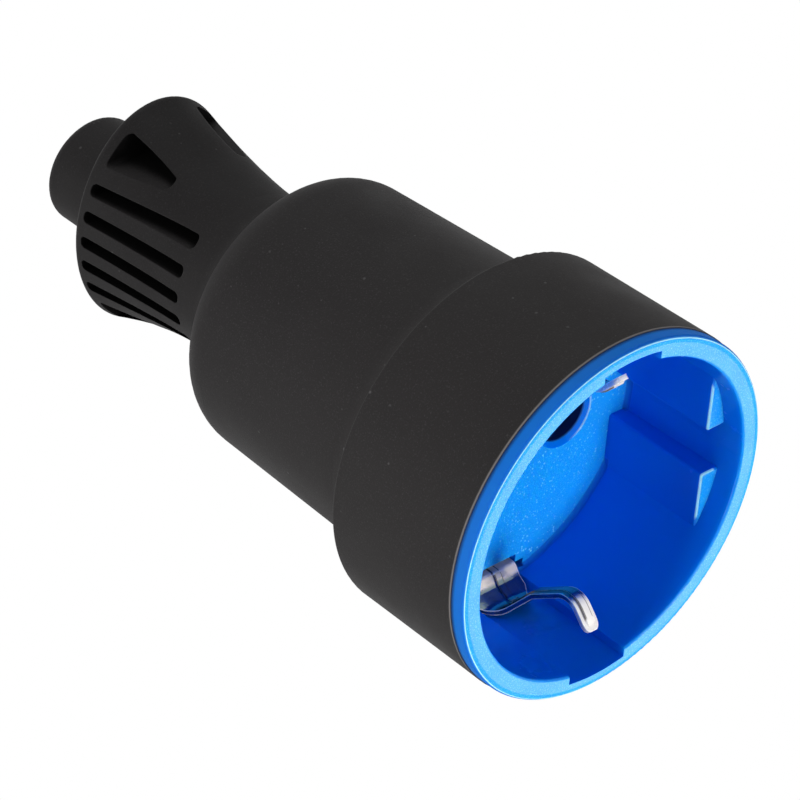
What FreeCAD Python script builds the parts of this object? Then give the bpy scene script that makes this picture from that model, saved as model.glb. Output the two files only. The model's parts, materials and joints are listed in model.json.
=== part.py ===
import FreeCAD, Part
import math
import os
import re
import Sketcher

# Inline socket connector for a round earthed plug.
# It stands on the rim of its recess: the origin is the centre of the rim, +Z runs along the axis
# to the cord end, X runs through the two pin holes and Y through the two earth springs.

SIZES = [
    ("recess_radius", 19.5, "recess wall at its floor"),
    ("mouth_draft", 0.2, "how much wider the recess is at its mouth"),
    ("mouth_radius", "recess_radius + mouth_draft", "recess wall at its mouth"),
    ("recess_depth", 17.5, "rim to recess floor"),
    ("floor_round", 0.6, "hollow corner between the recess wall and the floor"),
    ("floor_thickness", 2.5, "recess floor"),
    ("cup_wall", 1.95, "wall of the cup"),
    ("lip_overhang", 0.8, "flange past the cup wall"),
    ("lip_radius", "cup_radius + lip_overhang", "flange of the cup in front of the sleeve"),
    ("lip_depth", 1.9, "flange thickness"),
    ("lip_outer_round", 0.45, "front outer edge of the flange"),
    ("lip_inner_round", 0.3, "edge of the mouth"),
    ("cup_radius", "recess_radius + cup_wall", "outside of the cup wall"),
    ("pin_spacing", 19.0, "between the two pin holes"),
    ("pin_hole_radius", 3.45, "pin hole through the floor"),
    ("pin_entry_radius", "pin_hole_radius + pin_entry_depth", "rim of the coned pin entry"),
    ("pin_entry_depth", 0.65, "depth of the coned pin entry"),
    ("pin_length", 19.0, "length of a plug pin from the plug's face"),
    ("pin_room", 0.5, "free room behind the end of a plug pin"),
    ("rib_height", 2.6, "guide ribs from the recess wall"),
    ("rib_face", "recess_radius - rib_height", "inner face of the guide ribs from the axis"),
    ("rib_round", 0.3, "edges of the guide ribs"),
    ("rib_start", 3.0, "front end of the guide ribs"),
    ("rib_gap", 5.9, "key slot between the two ribs of one side"),
    ("rib_reach", 10.2, "side of the rib pair from the key slot's middle"),
    ("notch_play", 0.5, "notch beside the spring"),
    ("notch_depth", 1.3, "notch into the recess wall"),
    ("notch_width", "spring_width + 2 * notch_play", "notch in the wall for a plug's earth strip"),
    ("notch_radius", "recess_radius + notch_depth", "bottom of the notch"),
    ("spring_width", 7.4, "earth strip"),
    ("spring_thickness", 0.8, "earth strip"),
    ("spring_play", 0.05, "earth strip to its channel"),
    ("spring_inset", 1.5, "earth strip from the recess wall where it comes through the floor"),
    ("spring_lean_start", 0.5, "floor to the bend in front of it"),
    ("dip_room", 0.4, "corner that the outermost bend rounds off, to the bottom of the notch"),
    ("dip_depth", 3.5, "outermost bend from the floor"),
    ("peak_reach", 6.1, "innermost bend from the recess wall"),
    ("tip_reach", 2.6, "free end of the spring from the recess wall"),
    ("spring_rise", "recess_radius - spring_inset", "earth strip through the floor, from the axis"),
    ("spring_rise_end", "recess_depth - spring_lean_start", "height at which the spring leans outwards"),
    ("spring_dip", "notch_radius - dip_room", "outermost bend of the spring, from the axis"),
    ("spring_dip_height", "recess_depth - dip_depth", "height of the outermost bend"),
    ("spring_peak", "recess_radius - peak_reach", "innermost bend of the spring, from the axis"),
    ("spring_peak_height", 5.6, "height of the innermost bend"),
    ("spring_tip", "recess_radius - tip_reach", "free end of the spring, from the axis"),
    ("spring_tip_height", 2.3, "height of the free end"),
    ("bend_rise", 1.0, "bend at the back of the floor"),
    ("bend_lean", 1.0, "bend in front of the floor"),
    ("bend_dip", 1.9, "outermost bend of the spring"),
    ("bend_peak", 2.2, "contact bend of the spring"),
    ("tongue_width", 2.6, "narrow scraping end of the spring"),
    ("tongue_shift", 0.95, "tongue from the middle of the strip, along X"),
    ("tongue_taper", 3.4, "length of the strip that narrows to the tongue"),
    ("tongue_fillet", 1.5, "hollow corner between the tongue and the wide strip"),
    ("tongue_start", "spring_dip_height - tongue_taper / 2", "height of the tongue's shoulder"),
    ("tongue_corner", 0.5, "bevel at the tongue's end"),
    ("tongue_corner_length", 0.8, "length of that bevel along the tongue"),
    ("floor_slot_inset", 0.95, "floor slot inside the strip"),
    ("floor_slot_room", 1.3, "floor slot outside the strip's middle"),
    ("floor_slot_inner", "spring_rise - spring_thickness / 2 - floor_slot_inset",
     "floor slot for the spring, inner side"),
    ("floor_slot_outer", "spring_rise + floor_slot_room", "floor slot for the spring, outer side"),
    ("floor_slot_play", 0.25, "floor slot beside the spring"),
    ("side_slot_play", 1.5, "wider outer part of the floor slot, beside the spring"),
    ("side_slot_start", "spring_rise - side_slot_lead", "wider part of the floor slot, inner side"),
    ("side_slot_lead", 0.3, "wider part of the floor slot, inside the strip's middle"),
    ("side_slot_end", "spring_rise + side_slot_room", "wider part of the floor slot, outer side"),
    ("side_slot_room", 0.7, "wider part of the floor slot, outside the strip's middle"),
    ("channel_play", 0.2, "channel behind the floor beside the strip"),
    ("boss_radius", 2.8, "screw boss behind the floor"),
    ("boss_length", 7.0, "screw boss"),
    ("boss_pilot_radius", 1.2, "pilot hole of the boss"),
    ("boss_wall", 1.24, "screw boss to the carrier's outside"),
    ("boss_offset", "(cavity_radius - insert_gap - boss_radius - boss_wall) / sqrt(2)",
     "screw boss from the axis, along X and along Y"),
    ("boss_play", 0.1, "boss to its pocket"),
    ("insert_gap", 0.1, "insulating blocks to the sleeve's cavity"),
    ("cup_gap", 0.05, "cup wall to the sleeve"),
    ("head_room", 0.35, "terminal screw head to the sleeve's cavity"),
    ("cavity_radius",
     "pin_spacing / 2 + contact_bore_radius + tail_play + tail_thickness + terminal_seat"
     " + terminal_screw_wall + clamp_head_height + head_room",
     "cavity of the sleeve round the blocks"),
    ("bead_height", 0.5, "snap bead on the carrier"),
    ("bead_setback", 4.0, "snap bead from the carrier's rear"),
    ("bead_start", "pin_length - floor_thickness + pin_room - bead_setback",
     "snap bead from the carrier's front"),
    ("bead_width", 2.0, "snap bead"),
    ("cover_length", 9.0, "block that holds the terminals"),
    ("contact_bore_radius", 2.42, "tube contact, bore for a 4.8 mm pin"),
    ("contact_wall", 0.68, "tube contact"),
    ("contact_start", 2.0, "tube contact from the carrier's front"),
    ("contact_length", 11.0, "tube contact"),
    ("contact_lead", 0.45, "coned lead-in of the tube contact"),
    ("slit_width", 0.8, "slits that let the tube contact spread"),
    ("slit_length", 8.0, "slits from the front of the tube contact"),
    ("chamber_play", 0.15, "spring clip to its chamber"),
    ("chamber_radius", "contact_bore_radius + contact_wall + clip_play + clip_thickness + chamber_play",
     "chamber of a tube contact"),
    ("tail_thickness", 0.6, "tail of a tube contact"),
    ("tail_width", 3.6, "tail of a tube contact and of the earth leg"),
    ("tail_play", 0.03, "tail to the bore line"),
    ("clip_start", 5.0, "spring clip from the carrier's front"),
    ("clip_length", 4.0, "spring clip round the tube contact"),
    ("clip_thickness", 0.5, "spring clip"),
    ("clip_play", 0.05, "spring clip to the tube"),
    ("clip_opening", 3.2, "opening of the spring clip"),
    ("terminal_width", 6.8, "terminal cage across"),
    ("terminal_hole", 4.2, "wire hole of a terminal cage"),
    ("terminal_wall", 1.1, "terminal cage, side towards the axis"),
    ("terminal_screw_wall", 1.65, "terminal cage, threaded side"),
    ("terminal_play", 0.05, "terminal cage to its pocket, front and back"),
    ("terminal_seat", 0.1, "tail or leg to the threaded side"),
    ("pocket_play", 0.1, "terminal cage to its pocket, sides"),
    ("cover_back", 1.8, "back wall of the terminal block"),
    ("wire_hole_radius", 2.1, "wire hole through the terminal block"),
    ("tail_end_gap", 0.7, "tail end to the terminal cage's back"),
    ("clamp_screw_radius", 1.42, "terminal screw"),
    ("clamp_head_radius", 2.3, "terminal screw head"),
    ("clamp_head_height", 0.95, "terminal screw head"),
    ("driver_slot_width", 0.7, "driver slots of the terminal screws"),
    ("driver_slot_depth", 0.5, "driver slots of the terminal screws"),
    ("screw_play", 0.08, "screws to their holes"),
    ("leg_inset", 0.85, "earth leg further in than the tails of the tube contacts"),
    ("leg_outer",
     "pin_spacing / 2 + contact_bore_radius + tail_play + tail_thickness - leg_inset",
     "earth leg, outer side from the axis"),
    ("leg_foot", 4.1, "earth leg's foot, bend to rivet"),
    ("foot_end", 2.6, "earth leg's foot, rivet to end"),
    ("leg_foot_start", "rivet_offset - foot_end", "earth leg's foot, inner end"),
    ("leg_bend", 1.0, "earth leg, outside of its bend"),
    ("leg_play", 0.15, "earth leg to the carrier"),
    ("rivet_offset", "leg_outer - leg_foot", "rivet of the earth leg from the axis"),
    ("rivet_radius", 1.2, "rivet shank"),
    ("rivet_head_radius", 1.9, "rivet heads"),
    ("rivet_head_height", 0.55, "rivet heads"),
    ("rivet_play", 0.05, "rivet to its holes"),
    ("long_screw_radius", 1.4, "screws through the blocks"),
    ("long_head_radius", 2.5, "screws through the blocks, head"),
    ("long_head_height", 1.8, "screws through the blocks, head"),
    ("long_head_room", 0.2, "counterbore deeper than the head"),
    ("long_head_sunk", "long_head_height + long_head_room", "counterbore depth in the terminal block"),
    ("boss_bottom", 1.5, "boss below the screw's end"),
    ("long_screw_reach", "boss_length - boss_bottom", "screw end from the boss end"),
    ("saddle_side", 0.4, "saddle beside the nut"),
    ("saddle_half_width", "cord_screw_offset + nut_radius + saddle_side",
     "cord saddle and clamp, half across"),
    ("saddle_length", 5.6, "cord saddle along the cord"),
    ("saddle_floor", 3.7, "saddle under the cord groove"),
    ("saddle_bottom", "cord_groove_radius + saddle_floor", "underside of the saddle from the axis"),
    ("clamp_split", 1.0, "saddle and clamp faces from the axis"),
    ("clamp_back", 2.1, "clamp over the cord groove"),
    ("clamp_top", "cord_groove_radius + clamp_back", "top of the clamp from the axis"),
    ("clamp_play", 0.2, "clamp to the terminal block"),
    ("clamp_corner", 1.2, "rounded corners of the clamp"),
    ("cord_squeeze", 0.1, "groove narrower than the cord bore"),
    ("cord_groove_radius", "cord_bore_radius - cord_squeeze", "groove for the cord"),
    ("cord_screw_wall", 1.15, "cord groove to the clamp screw"),
    ("cord_screw_offset", "cord_groove_radius + cord_screw_radius + cord_screw_wall",
     "cord clamp screws from the axis"),
    ("cord_screw_radius", 1.25, "cord clamp screw"),
    ("cord_head_radius", 2.2, "cord clamp screw head"),
    ("cord_head_height", 1.4, "cord clamp screw head"),
    ("nut_radius", 2.7, "nut, centre to corner"),
    ("nut_height", 1.7, "nut"),
    ("nut_play", 0.1, "nut to its pocket"),
    ("clamp_room_gap", 0.47, "saddle's corner to the sleeve"),
    ("clamp_end_gap", 0.4, "saddle's end to the sleeve"),
    ("clamp_room_radius", "sqrt(saddle_half_width ^ 2 + saddle_bottom ^ 2) + clamp_room_gap",
     "cavity of the sleeve round the cord clamp"),
    ("clamp_room_end", "recess_depth + pin_length + pin_room + cover_length + saddle_length + clamp_end_gap",
     "end of the cavity"),
    ("throat_flare", 4.8, "throat wider than the cord bore at its start"),
    ("throat_length", 5.0, "throat"),
    ("throat_radius", "cord_bore_radius + throat_flare", "cavity where it starts to narrow"),
    ("throat_end", "clamp_room_end + throat_length", "where the cavity has narrowed to the cord bore"),
    ("sleeve_wall", 0.9, "wall of the wide part"),
    ("sleeve_draft", 0.3, "how much narrower the wide part gets"),
    ("sleeve_overhang", 0.9, "wide part past the recess floor's back"),
    ("sleeve_front_radius", "cup_radius + sleeve_wall", "sleeve behind the flange"),
    ("sleeve_rear_radius", "sleeve_front_radius - sleeve_draft", "sleeve at the step"),
    ("sleeve_end", "recess_depth + floor_thickness + sleeve_overhang", "rear edge of the wide part"),
    ("sleeve_edge_round", 0.4, "rear edge of the wide part"),
    ("step_lean", 1.1, "how far the step leans back"),
    ("waist_wall", 2.55, "wall of the middle part at the step"),
    ("waist_draft", 1.1, "how much narrower the middle part gets"),
    ("step_swell", 0.7, "hollow round larger than the step"),
    ("step_round", "sleeve_rear_radius - waist_front_radius + step_swell", "hollow round of the step"),
    ("waist_front_radius", "cavity_radius + waist_wall", "middle part at the step"),
    ("waist_rear_radius", "waist_front_radius - waist_draft", "middle part at the shoulder"),
    ("shoulder_drop", 0.8, "shoulder in front of the cavity's end"),
    ("shoulder_rise", 5.2, "shoulder along the axis"),
    ("shoulder_height", "clamp_room_end - shoulder_drop", "corner that the shoulder rounds off"),
    ("shoulder_round", 5.8, "shoulder"),
    ("neck_height", "shoulder_height + shoulder_rise", "corner that the neck rounds out"),
    ("neck_round", 3.0, "hollow round into the neck"),
    ("slot_depth", 3.35, "neck round the core"),
    ("neck_length", 3.6, "neck"),
    ("neck_radius", "core_radius + slot_depth", "neck"),
    ("flare_start", "neck_height + neck_length", "end of the round neck"),
    ("flare_length", 18.0, "flare"),
    ("flare_spread", 1.25, "flare wider than the neck along X"),
    ("flare_side", 2.2, "flare beside the window"),
    ("flare_end", "flare_start + flare_length", "rear face of the flare"),
    ("flare_half_thick", "neck_radius + flare_spread", "rear of the flare, half along X"),
    ("flare_half_wide", "window_outer + flare_side", "rear of the flare, half along Y"),
    ("flare_edge_round", 0.8, "rear edge of the flare"),
    ("slot_pitch", 3.3, "between two slots of the flare"),
    ("slot_width", 1.5, "slot"),
    ("slot_setback", 0.7, "slots from the flare's start"),
    ("slot_end_wall", 1.35, "wall behind the slots"),
    ("slot_start", "flare_start + slot_setback", "front end of the slots"),
    ("slot_end", "flare_end - slot_end_wall", "rear end of the slots"),
    ("slot_round", 0.6, "corners of the slots"),
    ("window_web", 1.95, "web between the last slot and the window"),
    ("window_width", 3.55, "rear side of the window"),
    ("window_length", 8.2, "window along the axis"),
    ("window_end_wall", 1.85, "wall behind the window"),
    ("window_inner", "2 * slot_pitch + slot_width / 2 + window_web",
     "straight side of the three-cornered window"),
    ("window_outer", "window_inner + window_width", "far corner of the window"),
    ("window_start", "window_end - window_length", "front end of the window"),
    ("window_front_width", 1.0, "front end of the window"),
    ("window_end", "flare_end - window_end_wall", "rear side of the window"),
    ("window_round", 0.5, "corners of the window"),
    ("core_wall", 2.15, "wall of the end piece"),
    ("core_radius", "cord_bore_radius + core_wall", "core inside the slots, and the end piece"),
    ("cord_bore_radius", 4.6, "bore for the cord"),
    ("end_length", 10.9, "end piece"),
    ("overall_length", "flare_end + end_length", "rim to the end of the cord bore"),
    ("end_flat", 0.25, "flat between the end piece's rounds"),
    ("end_round", "core_wall - bore_edge_round - end_flat", "outer edge of the end piece"),
    ("bore_edge_round", 0.5, "edge of the cord bore"),
    ("spare", 1.0, "how far cutting shapes run past the faces they open"),
]

NAMES = {name for name, number, note in SIZES}
WORD = re.compile(r"[a-z][a-z_]*")
TURNS = {
    "+z": FreeCAD.Rotation(),
    "+x": FreeCAD.Rotation(FreeCAD.Vector(0, 1, 0), 90),
    "+y": FreeCAD.Rotation(FreeCAD.Vector(1, 0, 0), -90),
    "-y": FreeCAD.Rotation(FreeCAD.Vector(1, 0, 0), 90),
}
SIDES = {"live": 1, "neutral": -1}
SLOT_COUNT = 5
FLARE_SECTIONS = 7
FLARE_POWER = 1.6
# Places closer than this many millimetres count as one.
NEAR = 0.001
# What a ring's long half has over its short half at least, in millimetres.
LEAST_OVAL = 0.0001

doc = FreeCAD.newDocument("inline_socket_connector")
sheet = doc.addObject("Spreadsheet::Sheet", "sizes")
for row, (name, number, note) in enumerate(SIZES, start=1):
    sheet.set(f"A{row}", name)
    sheet.setAlias(f"B{row}", name)
    sheet.set(f"C{row}", note)
for row, (name, number, note) in enumerate(SIZES, start=1):
    sheet.set(f"B{row}", f"={number}")
doc.recompute()

# Places that several pieces share, as sums of the sizes above.
BLOCK_FRONT = "(recess_depth + floor_thickness)"
CARRIER_LENGTH = "(pin_length - floor_thickness + pin_room)"
COVER_FRONT = f"({BLOCK_FRONT} + {CARRIER_LENGTH})"
COVER_END = f"({COVER_FRONT} + cover_length)"
PIN = "(pin_spacing / 2)"
STRIP_FRONT = f"({BLOCK_FRONT} - spring_thickness)"
CONTACT_RADIUS = "(contact_bore_radius + contact_wall)"
CONTACT_FRONT = f"({BLOCK_FRONT} + contact_start)"
CLIP_BORE = f"({CONTACT_RADIUS} + clip_play)"
PIN_TAIL = f"({PIN} + contact_bore_radius + tail_play + tail_thickness)"
TERMINAL_FRONT = f"({COVER_FRONT} + terminal_play)"
TERMINAL_LENGTH = "(cover_length - cover_back - 2 * terminal_play)"
TERMINAL_MIDDLE = f"({TERMINAL_FRONT} + {TERMINAL_LENGTH} / 2)"
TERMINAL_DEPTH = "(terminal_wall + terminal_hole + terminal_screw_wall)"
TAIL_END = f"({TERMINAL_FRONT} + {TERMINAL_LENGTH} - tail_end_gap)"
CARRIER_RADIUS = "(cavity_radius - insert_gap)"
SCREW_SEAT = f"({COVER_END} - long_head_sunk)"
CLAMP_MIDDLE = f"({COVER_END} + saddle_length / 2)"


def formula(text):
    """The text of an expression, with each size name pointed at the sheet."""
    return WORD.sub(lambda found: ("sizes." if found.group() in NAMES else "") + found.group(), text)


def value(text):
    """What a sum of sizes comes to, in millimetres."""
    return float(sheet.evalExpression(formula(text)))


def bind(item, **sums):
    for prop, text in sums.items():
        item.setExpression(prop, formula(text))
    return item


def place(item, at, turn="+z"):
    item.Placement = FreeCAD.Placement(FreeCAD.Vector(), TURNS[turn])
    for letter, text in zip("xyz", at):
        item.setExpression("Placement.Base." + letter, formula(text))
    return item


def rod(name, radius, length, at, turn="+z"):
    """A round bar that starts at a point and runs along an axis."""
    item = bind(doc.addObject("Part::Cylinder", name), Radius=radius, Height=length)
    return place(item, at, turn)


def cone(name, first, last, length, at):
    item = bind(doc.addObject("Part::Cone", name), Radius1=first, Radius2=last, Height=length)
    return place(item, at)


def block(name, low, high):
    """A box between two corners."""
    item = doc.addObject("Part::Box", name)
    spans = [f"({top}) - ({bottom})" for bottom, top in zip(low, high)]
    bind(item, Length=spans[0], Width=spans[1], Height=spans[2])
    return place(item, low)


def rounded_block(name, low, high, radius):
    """A box with rounded edges, apart from the edges of its far X face and its far Z face."""
    box = block(name + "_block", low, high)
    doc.recompute()
    far_x = value(high[0]) - NEAR
    far_z = value(high[2]) - NEAR
    free = [n for n, edge in enumerate(box.Shape.Edges, start=1)
            if edge.BoundBox.XMin < far_x and edge.BoundBox.ZMin < far_z]
    item = doc.addObject("Part::Fillet", name)
    item.Base = box
    item.Edges = [(n, value(radius), value(radius)) for n in free]
    return item


def hexagon(name, radius, length, at, turn):
    item = doc.addObject("Part::Prism", name)
    item.Polygon = 6
    bind(item, Circumradius=radius, Height=length)
    return place(item, at, turn)


def fuse(name, items):
    item = doc.addObject("Part::MultiFuse", name)
    item.Shapes = items
    return item


def overlap(name, items):
    item = doc.addObject("Part::MultiCommon", name)
    item.Shapes = items
    return item


def cut(name, base, tools):
    item = doc.addObject("Part::Cut", name)
    item.Base = base
    item.Tool = tools[0] if len(tools) == 1 else fuse(name + "_cuts", tools)
    return item


def group(name, items):
    """Separate solids that share one node."""
    item = doc.addObject("Part::Compound", name)
    item.Links = items
    return item


def turned_round(item, degrees):
    """Turn a finished shape about the connector's axis."""
    item.Placement = FreeCAD.Placement(FreeCAD.Vector(), FreeCAD.Rotation(FreeCAD.Vector(0, 0, 1), degrees))
    return item


def origin_feature(body, role):
    return next(feature for feature in body.Origin.OriginFeatures if feature.Role == role)


def new_sketch(body, name, role):
    sketch = body.newObject("Sketcher::SketchObject", name)
    sketch.AttachmentSupport = [(origin_feature(body, role), "")]
    sketch.MapMode = "FlatFace"
    return sketch


def tie(sketch, kind, *parts):
    """Add a sized constraint; the last part is its sum."""
    text = parts[-1]
    index = sketch.addConstraint(Sketcher.Constraint(kind, *parts[:-1], value(text)))
    sketch.setExpression(f"Constraints[{index}]", formula(text))


def corner_arc(before, spot, after, radius):
    """Where a round of this radius leaves one side and joins the next, and its arc."""
    come = (spot - before).normalize()
    leave = (after - spot).normalize()
    trim = radius * math.tan(come.getAngle(leave) / 2)
    start = spot - come * trim
    end = spot + leave * trim
    left = come.cross(leave).z > 0
    side = FreeCAD.Vector(-come.y, come.x, 0) * (radius if left else -radius)
    centre = start + side
    first, last = (start, end) if left else (end, start)
    angles = [math.atan2(point.y - centre.y, point.x - centre.x) for point in (first, last)]
    circle = Part.Circle(centre, FreeCAD.Vector(0, 0, 1), radius)
    return start, end, Part.ArcOfCircle(circle, angles[0], angles[1]), left


def outline(sketch, corners, closed=True):
    """Draw straight sides through the corners, rounded where a corner has a radius.

    Each corner is (across, up) or (across, up, radius), and all three are tied to the sizes."""
    spots = [FreeCAD.Vector(value(corner[0]), value(corner[1]), 0) for corner in corners]
    count = len(corners)
    rounds = {}
    for index, corner in enumerate(corners):
        if len(corner) == 3:
            after = spots[(index + 1) % count]
            rounds[index] = corner_arc(spots[index - 1], spots[index], after, value(corner[2]))
    lines = []
    for index in range(count if closed else count - 1):
        follow = (index + 1) % count
        start = rounds[index][1] if index in rounds else spots[index]
        end = rounds[follow][0] if follow in rounds else spots[follow]
        lines.append(sketch.addGeometry(Part.LineSegment(start, end), False))
    for index, corner in enumerate(corners):
        before = lines[index - 1]
        after = lines[index] if index < len(lines) else None
        if index in rounds:
            start, end, arc, left = rounds[index]
            bend = sketch.addGeometry(arc, False)
            mark = sketch.addGeometry(Part.Point(spots[index]), True)
            sketch.addConstraint(Sketcher.Constraint("Tangent", before, 2, bend, 1 if left else 2))
            sketch.addConstraint(Sketcher.Constraint("Tangent", bend, 2 if left else 1, after, 1))
            sketch.addConstraint(Sketcher.Constraint("PointOnObject", mark, 1, before))
            sketch.addConstraint(Sketcher.Constraint("PointOnObject", mark, 1, after))
            tie(sketch, "Radius", bend, corner[2])
            fixed = (mark, 1)
        elif after is None:
            fixed = (before, 2)
        else:
            if closed or index > 0:
                sketch.addConstraint(Sketcher.Constraint("Coincident", before, 2, after, 1))
            fixed = (after, 1)
        tie(sketch, "DistanceX", -1, 1, *fixed, corner[0])
        tie(sketch, "DistanceY", -1, 1, *fixed, corner[1])


def turned(name, corners):
    """A body turned about the connector's axis from its half section (radius, height)."""
    body = doc.addObject("PartDesign::Body", name)
    sketch = new_sketch(body, name + "_section", "XZ_Plane")
    outline(sketch, corners)
    feature = body.newObject("PartDesign::Revolution", name + "_turn")
    feature.Profile = sketch
    feature.ReferenceAxis = (origin_feature(body, "Z_Axis"), [""])
    feature.Angle = 360
    return body


def plate(name, role, outlines, width):
    """A body of even width, half of it on each side of the sketch's plane."""
    body = doc.addObject("PartDesign::Body", name)
    sketch = new_sketch(body, name + "_outline", role)
    for corners in outlines:
        outline(sketch, corners)
    feature = body.newObject("PartDesign::Pad", name + "_pad")
    feature.Profile = sketch
    feature.SideType = "Symmetric"
    bind(feature, Length=width)
    return body


def mirrored_outline(corners):
    """The same outline on the other side of the axis."""
    return [("-(" + corner[0] + ")",) + tuple(corner[1:]) for corner in corners]


def rim_edges(shape, height):
    """The numbers of the edges that lie whole at one height."""
    box_ends = [(edge.BoundBox.ZMin, edge.BoundBox.ZMax) for edge in shape.Edges]
    return [n for n, ends in enumerate(box_ends, start=1) if max(abs(end - height) for end in ends) < NEAR]


def build_sleeve_front():
    """Wide mouth, hollow step, middle part, shoulder and neck, with the cavity inside."""
    return turned("sleeve_front", [
        ("sleeve_front_radius", "lip_depth"),
        ("sleeve_rear_radius", "sleeve_end", "sleeve_edge_round"),
        ("waist_front_radius", "sleeve_end + step_lean", "step_round"),
        ("waist_rear_radius", "shoulder_height", "shoulder_round"),
        ("neck_radius", "neck_height", "neck_round"),
        ("neck_radius", "flare_start"),
        ("cord_bore_radius", "flare_start"),
        ("cord_bore_radius", "throat_end"),
        ("throat_radius", "clamp_room_end"),
        ("clamp_room_radius", "clamp_room_end"),
        ("clamp_room_radius", f"{COVER_END} + insert_gap"),
        ("cavity_radius", f"{COVER_END} + insert_gap"),
        ("cavity_radius", BLOCK_FRONT),
        ("cup_radius + cup_gap", BLOCK_FRONT),
        ("cup_radius + cup_gap", "lip_depth"),
    ])


def build_flare():
    """The neck opens into an oval flare that is wider along Y than along X."""
    rings = []
    for index in range(FLARE_SECTIONS):
        along = index / (FLARE_SECTIONS - 1)
        grown = along ** FLARE_POWER
        ring = doc.addObject("Part::Ellipse", f"flare_ring_{index}")
        bind(ring, MajorRadius=f"neck_radius + (flare_half_wide - neck_radius) * {grown:.4f} + {LEAST_OVAL}")
        bind(ring, MinorRadius=f"neck_radius + (flare_half_thick - neck_radius) * {grown:.4f}")
        ring.Placement = FreeCAD.Placement(FreeCAD.Vector(), FreeCAD.Rotation(FreeCAD.Vector(0, 0, 1), 90))
        height = f"flare_start + (flare_end - flare_start) * {along:.4f}"
        ring.setExpression("Placement.Base.z", formula(height))
        rings.append(ring)
    flare = doc.addObject("Part::Loft", "flare_loft")
    flare.Sections = rings
    flare.Solid = True
    doc.recompute()
    rounded = doc.addObject("Part::Fillet", "flare_rounded")
    rounded.Base = flare
    edge_round = value("flare_edge_round")
    rounded.Edges = [(n, edge_round, edge_round) for n in rim_edges(flare.Shape, value("flare_end"))]
    return rounded


def build_flare_openings():
    """Parallel slots and a three-cornered window at each side, cut straight across down to the core."""
    outlines = []
    for index in range(SLOT_COUNT):
        middle = f"slot_pitch * {index - (SLOT_COUNT - 1) // 2}"
        outlines.append([
            (f"{middle} - slot_width / 2", "slot_start", "slot_round"),
            (f"{middle} + slot_width / 2", "slot_start", "slot_round"),
            (f"{middle} + slot_width / 2", "slot_end", "slot_round"),
            (f"{middle} - slot_width / 2", "slot_end", "slot_round"),
        ])
    window = [
        ("window_inner", "window_start", "window_round"),
        ("window_inner + window_front_width", "window_start", "window_round"),
        ("window_outer", "window_end", "window_round"),
        ("window_inner", "window_end", "window_round"),
    ]
    outlines += [window, mirrored_outline(window)]
    openings = plate("flare_openings", "YZ_Plane", outlines, "4 * flare_half_thick")
    core = rod("flare_core", "core_radius", "flare_end - neck_height", ("0", "0", "neck_height"))
    return cut("flare_cuts", openings, [core])


def build_rubber_housing():
    flare = cut("flare", build_flare(), [build_flare_openings()])
    end_piece = turned("end_piece", [
        ("cord_bore_radius", "flare_end - flare_edge_round"),
        ("core_radius", "flare_end - flare_edge_round"),
        ("core_radius", "overall_length", "end_round"),
        ("cord_bore_radius", "overall_length", "bore_edge_round"),
    ])
    whole = fuse("housing_whole", [build_sleeve_front(), flare, end_piece])
    bore = rod("cord_bore", "cord_bore_radius", "flare_end - neck_height", ("0", "0", "neck_height"))
    bead_groove = rod("bead_groove", "cavity_radius + bead_height", "bead_width + 2 * insert_gap",
                      ("0", "0", f"{BLOCK_FRONT} + bead_start - insert_gap"))
    return cut("rubber_housing", whole, [bore, bead_groove])


def boss_places():
    return [(f"{sign} * boss_offset", f"{sign} * boss_offset") for sign in (1, -1)]


def build_ribs():
    """Two guide ribs on each side, with the key slot between them."""
    ribs = []
    for across in (1, -1):
        for along in (1, -1):
            near = ("rib_face", "rib_gap / 2", "rib_start")
            far = ("notch_radius", "rib_reach", "recess_depth + spare")
            rib = rounded_block(f"rib_{len(ribs)}", near, far, "rib_round")
            ribs.append(mirror(rib, across, along))
    limit = rod("rib_limit", "(recess_radius + cup_radius) / 2", "recess_depth + spare", ("0", "0", "0"))
    return overlap("ribs", [fuse("rib_blocks", ribs), limit])


def mirror(item, across, along):
    """Turn a block into the quarter that the signs name; the block is copied by mirror planes."""
    for sign, normal in ((across, FreeCAD.Vector(1, 0, 0)), (along, FreeCAD.Vector(0, 1, 0))):
        if sign < 0:
            copy = doc.addObject("Part::Mirroring", item.Name + "_mirrored")
            copy.Source = item
            copy.Normal = normal
            item = copy
    return item


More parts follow.
